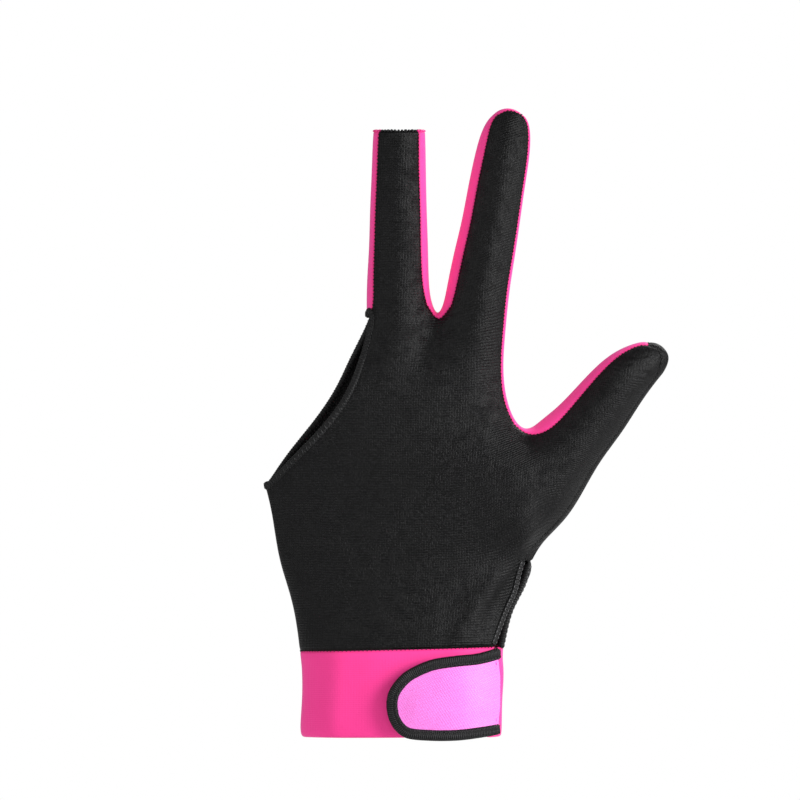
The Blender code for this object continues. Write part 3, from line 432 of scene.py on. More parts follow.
def add_fingers(cage):
    """The three covered fingers, section by section from their bases."""
    for key_of, rows in ((middle_key, MIDDLE_ROWS), (index_key, INDEX_ROWS)):
        for j, (z, left_rim, left, right, right_rim, half_depth, middle) in enumerate(rows, 1):
            ends = [place(x, z) for x in (left_rim, left, right, right_rim)]
            depths = (half_depth * GLOVE_DEPTH, middle * GLOVE_DEPTH)
            add_section(cage, key_of, FINGER_CELLS + 1, j, *ends, *depths)
    for j, sizes in enumerate(THUMB_ROWS, 1):
        ends = [place(sizes[n], sizes[n + 1]) for n in (0, 2, 4, 6)]
        depths = (sizes[8] * GLOVE_DEPTH, sizes[9] * GLOVE_DEPTH)
        add_section(cage, thumb_key, THUMB_CELLS + 1, j, *ends, *depths)
    add_tip(cage, index_key, len(INDEX_ROWS) + 1, INDEX_TIP, INDEX_ROWS[-1][-1] * GLOVE_DEPTH)
    add_tip(cage, thumb_key, len(THUMB_ROWS) + 1, THUMB_TIP, THUMB_ROWS[-1][-1] * GLOVE_DEPTH)
    for layer, _ in LAYERS:
        owner = layer + "_panel"
        cage.grid(owner, layer, middle_key, FINGER_CELLS, len(MIDDLE_ROWS))
        cage.grid(owner, layer, index_key, FINGER_CELLS, len(INDEX_ROWS) + 1)
        cage.grid(owner, layer, thumb_key, THUMB_CELLS, len(THUMB_ROWS) + 1)


def add_sides(cage):
    """The side strips, in order round the outline from the top of the slit."""
    thumb_end, index_end, middle_end = len(THUMB_ROWS) + 1, len(INDEX_ROWS) + 1, len(MIDDLE_ROWS)
    outer_thumb = [thumb_key(THUMB_CELLS, j) for j in range(thumb_end + 1)]
    thumb_tip = [thumb_key(i, thumb_end) for i in range(THUMB_CELLS, -1, -1)]
    upper_thumb = [thumb_key(0, j) for j in range(thumb_end, -1, -1)]
    beside_palm = [("hand", COLUMNS, row) for row in range(THUMB_FIRST_ROW + THUMB_CELLS, TOP + 1)]
    index_right = [index_key(FINGER_CELLS, j) for j in range(index_end + 1)]
    index_tip = [index_key(i, index_end) for i in range(FINGER_CELLS, -1, -1)]
    index_left = [index_key(0, j) for j in range(index_end, -1, -1)]
    web = [("hand", column, TOP) for column in (INDEX_FIRST, WEB_COLUMN, MIDDLE_LAST)]
    middle_right = [middle_key(FINGER_CELLS, j) for j in range(middle_end + 1)]
    middle_left = [middle_key(0, j) for j in range(middle_end, -1, -1)]
    beside_cuff = [("hand", 0, row) for row in range(CUFF_CELLS, -1, -1)]
    little_side = [("hand", 0, row) for row in range(CORNER_ROW, CUFF_CELLS - 1, -1)]
    cage.strip("thumb_turn", outer_thumb + thumb_tip[1:])
    cage.strip("fourchette_index_thumb", upper_thumb + beside_palm[1:] + index_right[1:])
    cage.strip("fourchette_middle_index", index_tip + index_left[1:] + web[1:] + middle_right[1:])
    cage.strip("fourchette_outer_middle", middle_left)
    cage.strip("back_panel", little_side)
    cage.strip("cuff", beside_cuff)


def limit_of(points, faces):
    """Where a smooth subdivision of these faces puts each of its points."""
    count = len(points)
    rows = np.zeros((count, count))
    edges = {}
    for face in faces:
        for k in range(4):
            edge = frozenset((face[k], face[(k + 1) % 4]))
            edges[edge] = edges.get(edge, 0) + 1
    rim = {}
    neighbours = {}
    for edge, uses in edges.items():
        a, b = edge
        for one, other in ((a, b), (b, a)):
            neighbours.setdefault(one, []).append(other)
            if uses == 1:
                rim.setdefault(one, []).append(other)
    corners = {}
    for face in faces:
        for k in range(4):
            corners.setdefault(face[k], []).append(face[(k + 2) % 4])
    for n in range(count):
        if n in rim:
            rows[n, n] = 4.0 / 6.0
            for other in rim[n]:
                rows[n, other] += 1.0 / 6.0
            continue
        valence = len(neighbours[n])
        whole = valence * (valence + 5.0)
        rows[n, n] = valence * valence / whole
        for other in neighbours[n]:
            rows[n, other] += 4.0 / whole
        for other in corners[n]:
            rows[n, other] += 1.0 / whole
    return rows


def make_cage():
    """The whole cage, with its points moved so that its smooth subdivision passes through the tables' points."""
    cage = Cage()
    add_hand(cage)
    add_fingers(cage)
    add_sides(cage)
    used = sorted({n for face in cage.faces for n in face})
    renumber = {old: new for new, old in enumerate(used)}
    faces = [[renumber[n] for n in face] for face in cage.faces]
    targets = np.array([cage.points[n] for n in used])
    rows = limit_of(targets, faces)
    points = targets.copy()
    for _ in range(FITTING_ROUNDS):
        points += FITTING_SHARE * (targets - rows @ points)
    return points, faces, cage.owners


def fold_heights(points, normals):
    """How far each fold moves these points, fading out at its ends and round the side of the hand."""
    flat = points[:, [0, 2]]
    total = np.zeros(len(points))
    for side, width, height, path in FOLDS:
        path = np.array(path) * (GLOVE_WIDTH, GLOVE_HEIGHT)
        steps = np.linalg.norm(np.diff(path, axis=0), axis=1)
        nearest = np.full(len(points), 1.0)
        along = np.zeros(len(points))
        for n, step in enumerate(steps):
            ahead = (path[n + 1] - path[n]) / step
            t = np.clip((flat - path[n]) @ ahead, 0.0, step)
            distance = np.linalg.norm(flat - path[n] - t[:, None] * ahead, axis=1)
            closer = distance < nearest
            nearest[closer] = distance[closer]
            along[closer] = (steps[:n].sum() + t[closer]) / steps.sum()
        facing = np.clip(normals[:, 1] * (1.0 if side == "palm" else -1.0) * 2.0, 0.0, 1.0)
        fade = np.sin(np.pi * np.clip(along, 0.02, 0.98)) ** 0.6
        bulge = np.exp(-((nearest / (width * GLOVE_DEPTH)) ** 2))
        total += height * GLOVE_DEPTH * facing * fade * bulge
    return total


class Skin:
    """The outer surface of the whole glove, subdivided, with what borders each face."""

    def __init__(self, levels):
        points, faces, owners = make_cage()
        self.names = sorted(set(owners))
        mesh = bpy.data.meshes.new("skin")
        mesh.from_pydata([tuple(p) for p in points], [], faces)
        for polygon, owner in zip(mesh.polygons, owners):
            polygon.material_index = self.names.index(owner)
        for name in self.names:
            mesh.materials.append(None)
        shape = bpy.data.objects.new("skin", mesh)
        bpy.context.scene.collection.objects.link(shape)
        rounding = shape.modifiers.new("rounding", "SUBSURF")
        rounding.levels = rounding.render_levels = levels
        rounding.boundary_smooth = "ALL"
        finished = shape.evaluated_get(bpy.context.evaluated_depsgraph_get()).to_mesh()
        self.points = np.array([tuple(v.co) for v in finished.vertices])
        self.faces = [tuple(p.vertices) for p in finished.polygons]
        self.owners = [self.names[p.material_index] for p in finished.polygons]
        bpy.data.objects.remove(shape)
        self.border = {(face[k], face[(k + 1) % 4]): n for n, face in enumerate(self.faces) for k in range(4)}
        self.measure_normals()
        self.points += self.normals * fold_heights(self.points, self.normals)[:, None]
        self.measure_normals()
        self.find_openings()

    def measure_normals(self):
        corners = self.points[np.array(self.faces)]
        self.face_normals = np.cross(corners[:, 2] - corners[:, 0], corners[:, 3] - corners[:, 1])
        self.normals = np.zeros_like(self.points)
        for k in range(4):
            np.add.at(self.normals, np.array(self.faces)[:, k], self.face_normals)
        self.normals /= np.linalg.norm(self.normals, axis=1)[:, None]
        self.face_normals /= np.linalg.norm(self.face_normals, axis=1)[:, None]

    def find_openings(self):
        """Open edges as loops, each run with the faces on its left."""
        follows = {a: b for (a, b) in self.border if (b, a) not in self.border}
        self.loops = []
        while follows:
            start, after = follows.popitem()
            loop = [start]
            while after != start:
                loop.append(after)
                after = follows.pop(after)
            self.loops.append(loop)
        heights = [self.points[loop][:, 2] for loop in self.loops]
        tip = max(range(len(heights)), key=lambda n: heights[n].min())
        wrist = min(range(len(heights)), key=lambda n: heights[n].min())
        self.open_at = {}
        for n, loop in enumerate(self.loops):
            for a, b in zip(loop, loop[1:] + loop[:1]):
                owner = self.owners[self.border[(a, b)]]
                if n == tip:
                    kind = "tip"
                elif n != wrist:
                    kind = "opening"
                else:
                    kind = "cuff" if owner in ("cuff", "thumb_turn") else "slit"
                self.open_at[(a, b)] = kind
        self.opening_loop = next(loop for n, loop in enumerate(self.loops) if n not in (tip, wrist))
        self.slit_runs = self.runs_of(self.loops[wrist])
        # The palm's binding starts a little below the slit's top.
        palm_run = self.slit_runs["palm_panel"]
        high = 0 if self.points[palm_run[0]][2] > self.points[palm_run[-1]][2] else len(palm_run) - 2
        self.open_at[(palm_run[high], palm_run[high + 1])] = "tip"
        palm_run.pop(0 if high == 0 else -1)

    def runs_of(self, loop):
        """The slit's edge as one run of points per panel."""
        runs = {}
        edges = list(zip(loop, loop[1:] + loop[:1]))
        kinds = [self.owners[self.border[edge]] for edge in edges]
        first = next(n for n in range(len(edges)) if kinds[n] != kinds[n - 1])
        for n in range(len(edges)):
            edge, kind = edges[(first + n) % len(edges)], kinds[(first + n) % len(edges)]
            if kind not in ("cuff", "thumb_turn"):
                runs.setdefault(kind, [edge[0]]).append(edge[1])
        return runs

    def inward(self, edge):
        n = self.border[edge]
        across = np.cross(self.face_normals[n], self.points[edge[1]] - self.points[edge[0]])
        return across / np.linalg.norm(across)


def corner_offset(first, second, first_size, second_size):
    """The move that brings a corner in from both of its edges."""
    shared = float(np.dot(first, second))
    if shared > 0.9:
        return (first + second) / (1.0 + shared) * max(first_size, second_size)
    shared = max(shared, -0.6)
    a = (first_size - shared * second_size) / (1.0 - shared * shared)
    b = (second_size - shared * first_size) / (1.0 - shared * shared)
    return a * first + b * second


def enclosed(points, faces):
    """Six times the volume that these faces enclose, below zero when they face inwards."""
    points = np.array(points)
    total = 0.0
    for face in faces:
        for b, c in zip(face[1:-1], face[2:]):
            total += float(np.dot(points[face[0]], np.cross(points[b], points[c])))
    return total


class WristOval:
    """The outside of the cuff seen from above, by distance along it from the thumb side towards the back."""

    def __init__(self):
        left, back_right, over_left, over_back = (PALM_ROWS[2][n] for n in (0, 2, 6, 7))
        back, palm = PALM_ROWS[2][9:]
        right = back_right + (back_right - left) * over_back
        left -= (right - left) * over_left
        self.middle = (left + right) / 2.0 * GLOVE_WIDTH
        self.half_width = (right - left) / 2.0 * GLOVE_WIDTH
        self.angles = np.linspace(-0.9, math.pi, 700)
        self.points = np.array([self.at_angle(angle, back, palm) for angle in self.angles])
        steps = np.linalg.norm(np.diff(self.points, axis=0), axis=1)
        self.lengths = np.concatenate([[0.0], np.cumsum(steps)])
        self.lengths -= np.interp(0.0, self.angles, self.lengths)
        self.sewn_length = self.length_at_x(STRAP_ROWS[0][0] * GLOVE_WIDTH, STRAP_SEWN_CLEARANCE + STRAP_WALL)

    def at_angle(self, angle, back, palm):
        """The point at this angle round an oval with flattened sides."""
        power = 2.0 / HAND_SQUARENESS
        cosine, sine = math.cos(angle), math.sin(angle)
        depth = (back if sine > 0 else palm) * GLOVE_DEPTH
        x = self.middle + self.half_width * math.copysign(abs(cosine) ** power, cosine)
        return np.array([x, -depth * math.copysign(abs(sine) ** power, sine)])

    def length_at_x(self, x, height):
        """How far along a point that stands off by this height has this x."""
        lengths = np.linspace(-0.004, self.lengths[-1] - 0.004, 400)
        raised = np.array([self.at(length, height, 0.0)[0] for length in lengths])
        return float(np.interp(-x, -raised, lengths))

    def on_oval(self, length):
        return np.array([np.interp(length, self.lengths, self.points[:, k]) for k in (0, 1)])

    def at(self, length, height, z):
        """The point at this distance along, standing off by this height."""
        here, ahead, behind = (self.on_oval(length + step) for step in (0.0, SIGHT_STEP, -SIGHT_STEP))
        along = (ahead - behind) / np.linalg.norm(ahead - behind)
        out = np.array([-along[1], along[0]])
        out = out if np.dot(out, here - np.array([self.middle, 0.0])) > 0 else -out
        return np.array([*(here + out * height), z])


def spline(rows, count):
    """A smooth run of points through table rows."""
    rows = np.array(rows, float)
    padded = np.vstack([2 * rows[0] - rows[1], rows, 2 * rows[-1] - rows[-2]])
    out = []
    for t in np.linspace(0.0, len(rows) - 1.0, count):
        k = min(int(t), len(rows) - 2)
        f = t - k
        a, b, c, e = padded[k : k + 4]
        bend, twist = 2 * a - 5 * b + 4 * c - e, 3 * b - a - 3 * c + e
        out.append(0.5 * (2 * b + (c - a) * f + bend * f**2 + twist * f**3))
    return np.array(out)


def even_steps(path, count):
    """Points at even steps along a path."""
    steps = np.linalg.norm(np.diff(path, axis=0), axis=1)
    lengths = np.concatenate([[0.0], np.cumsum(steps)])
    wanted = np.linspace(0.0, lengths[-1], count)
    return np.column_stack([np.interp(wanted, lengths, path[:, k]) for k in range(path.shape[1])])


def strap_outline(oval, count):
    """The strap's outline, as distance along the wrist and height, from its top edge round to its bottom."""
    heights = [STRAP_CLEARANCE + STRAP_WALL] * len(STRAP_ROWS)
    heights[0] = STRAP_SEWN_CLEARANCE + STRAP_WALL
    lengths = [oval.length_at_x(x * GLOVE_WIDTH, height) for (x, _, _), height in zip(STRAP_ROWS, heights)]
    rows = [(s, top * GLOVE_HEIGHT, low * GLOVE_HEIGHT) for s, (_, top, low) in zip(lengths, STRAP_ROWS)]
    upper = [(s, top) for s, top, _ in rows]
    lower = [(s, low) for s, _, low in reversed(rows)]
    return even_steps(np.vstack([spline(upper, 200), spline(lower, 200)]), count)


def inset_path(path, size):
    """A flat path moved towards the strap's middle by this size."""
    along = np.gradient(path, axis=0)
    along /= np.linalg.norm(along, axis=1)[:, None]
    inwards = np.column_stack([along[:, 1], -along[:, 0]])
    inwards[0], inwards[-1] = (0.0, -1.0), (0.0, 1.0)
    return path + inwards * size


def strap_height(oval, length):
    """The strap's sewn end lies nearer the cuff than its tongue over the hook patch."""
    share = smooth((length - oval.sewn_length) / STRAP_RISE)
    return STRAP_SEWN_CLEARANCE + (STRAP_CLEARANCE - STRAP_SEWN_CLEARANCE) * share


def make_object(name, points, faces, material):
    """A smooth-shaded object in the scene, its faces turned outwards."""
    if enclosed(points, faces) < 0.0:
        faces = [tuple(reversed(face)) for face in faces]
    mesh = bpy.data.meshes.new(name)
    mesh.from_pydata([tuple(p) for p in points], [], faces)
    mesh.polygons.foreach_set("use_smooth", [True] * len(faces))
    mesh.materials.append(material)
    made = bpy.data.objects.new(name, mesh)
    bpy.context.scene.collection.objects.link(made)
    return made


def store(made, **fields):
    """Keeps numbers on each point, for the finish to read."""
    for name, values in fields.items():
        kept = made.data.attributes.new(name, "FLOAT", "POINT")
        kept.data.foreach_set("value", np.asarray(values, dtype=np.float32))


def distance_to(points, marks):
    """How far each point is from the nearest mark."""
    if not len(marks):
        return np.full(len(points), 1.0)
    tree = mathutils.kdtree.KDTree(len(marks))
    for n, mark in enumerate(marks):
        tree.insert(mark, n)
    tree.balance()
    return np.array([tree.find(point)[2] for point in points])


# The knit's courses run across the hand, and dip round the thumb's base where the fabric turns with it.
COURSE_DIP = 0.0125
COURSE_DIP_PLACE = (0.0485, 0.0775)
COURSE_DIP_REACH = (0.017, 0.030)
INDEX_LEAN_START = 0.112
INDEX_LEAN_REACH = 0.030
INDEX_LEAN_SIDE = 0.0105
INDEX_LEAN = 0.35
WALE_LEAN = 0.35


def course_of(points):
    """How far up the knit each point is, so that lines of equal value run along its courses."""
    x = (points[:, 0] - COURSE_DIP_PLACE[0]) / COURSE_DIP_REACH[0]
    z = (points[:, 2] - COURSE_DIP_PLACE[1]) / COURSE_DIP_REACH[1]
    lean = np.clip((points[:, 2] - INDEX_LEAN_START) / INDEX_LEAN_REACH, 0.0, 1.0)
    lean = lean * (points[:, 0] > INDEX_LEAN_SIDE)
    dipped = points[:, 2] - COURSE_DIP * np.exp(-x * x - z * z)
    return dipped - INDEX_LEAN * lean * (points[:, 0] - INDEX_LEAN_SIDE)


def settle_normals(skin, rounds):
    """Evens out the skin's normals, so that every wall keeps its thickness where the cloth turns sharply."""
    faces = np.array(skin.faces)
    for _ in range(rounds):
        shared = skin.normals[faces].mean(axis=1)
        total = np.zeros_like(skin.normals)
        for k in range(4):
            np.add.at(total, faces[:, k], shared)
        skin.normals = total / np.linalg.norm(total, axis=1)[:, None]


def cloth_panel(name, skin, wall, material):
    """The wall of one piece of fabric: dipped along its seams, and rounded along its free edges."""
    faces = [face for face, owner in zip(skin.faces, skin.owners) if PIECE_OF.get(owner, owner) == name]
    edges = {(face[k], face[(k + 1) % 4]) for face in faces for k in range(4)}
    rim = [edge for edge in edges if (edge[1], edge[0]) not in edges]
    seams, free = [], []
    leaving, arriving = {}, {}
    for a, b in rim:
        kind = skin.open_at.get((a, b), "seam")
        if kind not in COVERED_EDGES:
            marks = seams if kind == "seam" else free
            marks.extend((skin.points[a], (skin.points[a] + skin.points[b]) / 2.0))
        leaving[a] = arriving[b] = (skin.inward((a, b)), EDGE_INSETS.get(kind, 0.0))
    used = sorted({n for face in faces for n in face})
    number = {old: new for new, old in enumerate(used)}
    outer = skin.points[used].copy()
    for n in leaving:
        (first, first_size), (second, second_size) = arriving[n], leaving[n]
        if first_size or second_size:
            outer[number[n]] += corner_offset(first, second, first_size, second_size)
    normals = skin.normals[used]
    seam_distance, free_distance = distance_to(outer, seams), distance_to(outer, free)
    roll = wall / 2.0
    turned = 1.0 - np.clip(free_distance / roll, 0.0, 1.0)
    rounded = EDGE_ROUNDING * roll * (1.0 - np.sqrt(1.0 - turned**2))
    dip = SEAM_DIP * np.exp(-((seam_distance / SEAM_DIP_REACH) ** 2))
    inner = outer - normals * (wall - rounded)[:, None]
    top = outer - normals * np.maximum(rounded, dip)[:, None]
    count = len(used)
    solid = [tuple(number[n] for n in face) for face in faces]
    solid += [tuple(number[n] + count for n in reversed(face)) for face in faces]
    solid += [(number[b], number[a], number[a] + count, number[b] + count) for a, b in rim]
    made = make_object(name + "_cloth", np.vstack([top, inner]), solid, material)
    store(
        made,
        course=np.tile(course_of(outer), 2),
        wale=np.tile(outer[:, 0] + WALE_LEAN * outer[:, 1], 2),
        seam=np.tile(np.minimum(seam_distance, free_distance), 2),
    )
    return made


def band_section(width, lift, wall, sides):
    """A soft flat roll seen from its end: across, height."""
    section = []
    for angle in np.linspace(0.0, 2.0 * math.pi, sides, endpoint=False):
        cosine, sine = math.cos(angle), math.sin(angle)
        across = width / 2.0 * (1.0 - math.copysign(abs(cosine) ** BAND_FLATNESS[0], cosine))
        height = (wall / 2.0 + lift) * math.copysign(abs(sine) ** BAND_FLATNESS[1], sine) - wall / 2.0
        section.append((across, height))
    return np.array(section)


def evened(rows, closed, rounds):
    """A run of directions with its jumps smoothed out."""
    rows = np.array(rows)
    for _ in range(rounds):
        before, after = np.roll(rows, 1, axis=0), np.roll(rows, -1, axis=0)
        if not closed:
            before[0], after[-1] = rows[0], rows[-1]
        rows = (before + 2.0 * rows + after) / 4.0
    return rows


def cloth_band(name, edge, width, lift, wall, closed, material, sides=16):
    """A binding rolled over an edge, with its ends closed in."""
    section = band_section(width, lift, wall, sides)
    middle = np.array([width / 2.0, -wall / 2.0])
    points, inwards, normals = edge
    grown = [1.0] * len(points)
    if not closed:
        points, inwards, normals = (np.vstack([row[:1]] * 2 + [row] + [row[-1:]] * 2) for row in edge)
        steps = np.array(BAND_END_STEPS) * wall
        ahead, behind = points[3] - points[2], points[-3] - points[-4]
        points[:2] -= steps[:, None] * ahead / np.linalg.norm(ahead)
        points[-2:] += steps[::-1, None] * behind / np.linalg.norm(behind)
        grown = [*BAND_END_SIZES, *grown, *reversed(BAND_END_SIZES)]
    count = len(points)
    rows, faces = [], []
    for n in range(count):
        ring = (section - middle) * grown[n] + middle
        rows.append(points[n] + inwards[n] * ring[:, :1] + normals[n] * ring[:, 1:])
    for n in range(count if closed else count - 1):
        after = (n + 1) % count
        for k in range(sides):
            m = (k + 1) % sides
            faces.append((n * sides + k, n * sides + m, after * sides + m, after * sides + k))
    if not closed:
        faces.append(tuple(range(sides - 1, -1, -1)))
        faces.append(tuple(range((count - 1) * sides, count * sides)))
    made = make_object(name, np.vstack(rows), faces, material)
    steps = np.linalg.norm(np.diff(points, axis=0), axis=1)
    store(made, along=np.repeat(np.concatenate([[0.0], np.cumsum(steps)]), sides))
    return made


def edge_frame(skin, run, closed, trim=0.0):
    """Points, ways in and normals along part of the skin's open edge."""
    edges = list(zip(run, run[1:] + run[:1])) if closed else list(zip(run[:-1], run[1:]))
    inwards = []
    for n in range(len(run)):
        before = skin.inward(edges[n - 1]) if closed or n > 0 else skin.inward(edges[0])
        after = skin.inward(edges[n]) if closed or n < len(edges) else skin.inward(edges[-1])
        inwards.append(corner_offset(before, after, 1.0, 1.0))
    points = skin.points[run].copy()
    if not closed and trim:
        for end, near in ((0, 1), (-1, -2)):
            step = points[near] - points[end]
            points[end] += step / np.linalg.norm(step) * min(trim, 0.5 * np.linalg.norm(step))
    return points, evened(inwards, closed, 3), evened(skin.normals[run], closed, 2)


def seam_runs(skin):
    """The seams as runs of points, by the two pieces that meet."""
    pairs = {}
    for (a, b), n in skin.border.items():
        m = skin.border.get((b, a))
        if m is None:
            continue
        left, right = (PIECE_OF.get(skin.owners[k], skin.owners[k]) for k in (n, m))
        if left < right:
            pairs.setdefault((left, right), {})[a] = b
    runs = {}
    for names, follows in pairs.items():
        waiting = dict(follows)
        for start in sorted(set(follows) - set(follows.values())) + sorted(follows):
            run = [start]
            while run[-1] in waiting:
                run.append(waiting.pop(run[-1]))
            if len(run) > 2:
                runs.setdefault(names, []).append(run)
    return runs


def add_node(tree, kind, inputs=None, **settings):
    """A node with its settings, and the values or links of its sockets."""
    node = tree.nodes.new(kind)
    for name, value in settings.items():
        setattr(node, name, value)
    for key, value in (inputs or {}).items():
        if isinstance(value, bpy.types.NodeSocket):
            tree.links.new(value, node.inputs[key])
        else:
            node.inputs[key].default_value = value
    return node


def make_thread_rows():
    """Geometry Nodes tree that lays threads along lines: each a small stretched bead, turned to its line."""
    tree = bpy.data.node_groups.new("thread_rows", "GeometryNodeTree")

    def socket(name, kind, in_out="INPUT"):
        tree.interface.new_socket(name, in_out=in_out, socket_type="NodeSocket" + kind)

    def add(kind, inputs=None, **settings):
        return add_node(tree, kind, inputs, **settings).outputs[0]

    def maths(operation, *values):
        return add("ShaderNodeMath", dict(enumerate(values)), operation=operation)

    socket("Lines", "Geometry")
    for name in STITCH_INPUTS:
        socket(name, "Float")
    socket("Thread", "Material")
    socket("Rows", "Geometry", "OUTPUT")
    given = tree.nodes.new("NodeGroupInput").outputs
    curve = add("GeometryNodeMeshToCurve", {"Mesh": given["Lines"]})
    spaced = add("GeometryNodeResampleCurve", {"Curve": curve, "Length": given["Pitch"]}, mode="LENGTH")
    bead = add("GeometryNodeMeshUVSphere", {"Segments": 8, "Rings": 5, "Radius": 0.5})
    align = "FunctionNodeAlignRotationToVector"
    along = add(align, {"Vector": add("GeometryNodeInputTangent")}, axis="X")
    out = add("GeometryNodeInputNamedAttribute", {"Name": "out"}, data_type="FLOAT_VECTOR")
    upright = add(align, {"Rotation": along, "Vector": out}, axis="Z", pivot_axis="X")
    # Where threads alternate, every other one turns the other way.
    odd = maths("MODULO", add("GeometryNodeInputIndex"), 2.0)
    side = maths("MULTIPLY_ADD", odd, maths("MULTIPLY", given["Alternate"], -2.0), 1.0)
    angle = maths("MULTIPLY", given["Turn"], side)
    turn = add("FunctionNodeAxisAngleToRotation", {"Axis": (0.0, 0.0, 1.0), "Angle": angle})
    turned = add(
        "FunctionNodeRotateRotation", {"Rotation": upright, "Rotate By": turn}, rotation_space="LOCAL"
    )
    low, high = (maths(operation, 1.0, given["Unevenness"]) for operation in ("SUBTRACT", "ADD"))
    random = add_node(tree, "FunctionNodeRandomValue", {2: low, 3: high, "Seed": 4}, data_type="FLOAT")
    size = add("ShaderNodeCombineXYZ", {"X": given["Length"], "Y": given["Width"], "Z": given["Height"]})
    sized = add("ShaderNodeVectorMath", {0: size, "Scale": random.outputs[1]}, operation="SCALE")
    placing = {"Points": spaced, "Instance": bead, "Rotation": turned, "Scale": sized}
    real = add("GeometryNodeRealizeInstances", {"Geometry": add("GeometryNodeInstanceOnPoints", placing)})
    soft = add("GeometryNodeSetShadeSmooth", {"Geometry": real})
    coloured = add("GeometryNodeSetMaterial", {"Geometry": soft, "Material": given["Thread"]})
    add_node(tree, "NodeGroupOutput", {"Rows": coloured})
    return tree


class Threads:
    """Rows of thread, gathered by name so that each name becomes one mesh."""

    def __init__(self, finishes):
        self.finishes = finishes
        self.tree = make_thread_rows()
        self.rows = {}

    def row(self, name, stitch, points, outs, closed=False):
        """Lays one kind of stitch along a line of points, its threads facing out."""
        count = len(points)
        mesh = bpy.data.meshes.new(name)
        edges = [(n, (n + 1) % count) for n in range(count if closed else count - 1)]
        mesh.from_pydata([tuple(p) for p in points], edges, [])
        kept = mesh.attributes.new("out", "FLOAT_VECTOR", "POINT")
        kept.data.foreach_set("vector", np.asarray(outs, np.float32).ravel())
        line = bpy.data.objects.new(name + "_line", mesh)
        bpy.context.scene.collection.objects.link(line)
        laying = line.modifiers.new("laying", "NODES")
        laying.node_group = self.tree
        values = {key: float(value) for key, value in zip(STITCH_INPUTS, STITCHES[stitch])}
        values["Turn"] = math.radians(values["Turn"])
        values["Thread"] = self.finishes[THREADS[name][0]]
        for item in self.tree.interface.items_tree:
            if item.in_out == "INPUT" and item.name in values:
                laying[item.identifier] = values[item.name]
        bpy.context.view_layer.update()
        evaluated = line.evaluated_get(bpy.context.evaluated_depsgraph_get())
        self.rows.setdefault(name, []).append(bpy.data.meshes.new_from_object(evaluated))
        bpy.data.objects.remove(line)

    def gather(self):
        """Joins the rows of each name into one object."""
        made = []
        for name, meshes in self.rows.items():
            parts = [bpy.data.objects.new(name, mesh) for mesh in meshes]
            for part in parts:
                bpy.context.scene.collection.objects.link(part)
            if len(parts) > 1:
                with bpy.context.temp_override(
                    active_object=parts[0], selected_objects=parts, selected_editable_objects=parts
                ):
                    bpy.ops.object.join()
            parts[0].name = name
            made.append(parts[0])
        return made


class Number:
    """A number that varies over a surface, with ordinary arithmetic."""

    def __init__(self, tree, socket):
        self.tree = tree
        self.socket = socket

    def by(self, operation, *others):
        values = {n: getattr(value, "socket", value) for n, value in enumerate((self, *others))}
        node = add_node(self.tree, "ShaderNodeMath", values, operation=operation)
        return Number(self.tree, node.outputs[0])

    def __add__(self, other):
        return self.by("ADD", other)

    def __sub__(self, other):
        return self.by("SUBTRACT", other)

    def __rsub__(self, other):
        return self.by("MULTIPLY", -1.0).by("ADD", other)

    def __mul__(self, other):
        return self.by("MULTIPLY", other)

    __radd__ = __add__
    __rmul__ = __mul__

    def wave(self, pitch):
        """From -1 to 1 and back over each pitch."""
        return (self * (2.0 * math.pi / pitch)).by("SINE")

    def ramp(self, low, high):
        """0 below low, 1 above high, and smooth between."""
        values = {"Value": self.socket, "From Min": low, "From Max": high}
        node = add_node(self.tree, "ShaderNodeMapRange", values, interpolation_type="SMOOTHSTEP")
        return Number(self.tree, node.outputs[0])


class Finish:
    """One material, made from numbers that vary over its surface."""

    def __init__(
        self, name, roughness, specular=0.5, sheen=0.0, sheen_roughness=0.5, sheen_tint=(1.0, 1.0, 1.0)
    ):
        self.material = bpy.data.materials.new(name)
        self.material.use_nodes = True
        self.tree = self.material.node_tree
        self.shader = self.tree.nodes["Principled BSDF"]
        values = {"Roughness": roughness, "Specular IOR Level": specular, "Sheen Weight": sheen}
        values.update({"Sheen Roughness": sheen_roughness, "Sheen Tint": (*sheen_tint, 1.0)})
        for key, value in values.items():
            self.shader.inputs[key].default_value = value

    def field(self, name):
        """Numbers that store() kept on the points."""
        node = add_node(self.tree, "ShaderNodeAttribute", attribute_name=name)
        return Number(self.tree, node.outputs["Fac"])

    def noise(self, size, detail=2.0):
        """Soft noise between 0 and 1 whose spots are about this size."""
        place = add_node(self.tree, "ShaderNodeTexCoord").outputs["Object"]
        values = {"Vector": place, "Scale": 1.0 / size, "Detail": detail}
        node = add_node(self.tree, "ShaderNodeTexNoise", values)
        return Number(self.tree, node.outputs["Fac"])

    def colour(self, share, first, second):
        """The base colour, between two colours."""
        values = {0: share.socket, 6: (*first, 1.0), 7: (*second, 1.0)}
        node = add_node(self.tree, "ShaderNodeMix", values, data_type="RGBA")
        self.tree.links.new(node.outputs[2], self.shader.inputs["Base Color"])

    def roughness(self, number):
        self.tree.links.new(number.socket, self.shader.inputs["Roughness"])

    def bump(self, number, depth, strength=1.0):
        values = {"Height": number.socket, "Distance": depth, "Strength": strength}
        node = add_node(self.tree, "ShaderNodeBump", values)
        self.tree.links.new(node.outputs["Normal"], self.shader.inputs["Normal"])


RIB_PITCH = 0.00078
WALE_PITCH = 0.00052


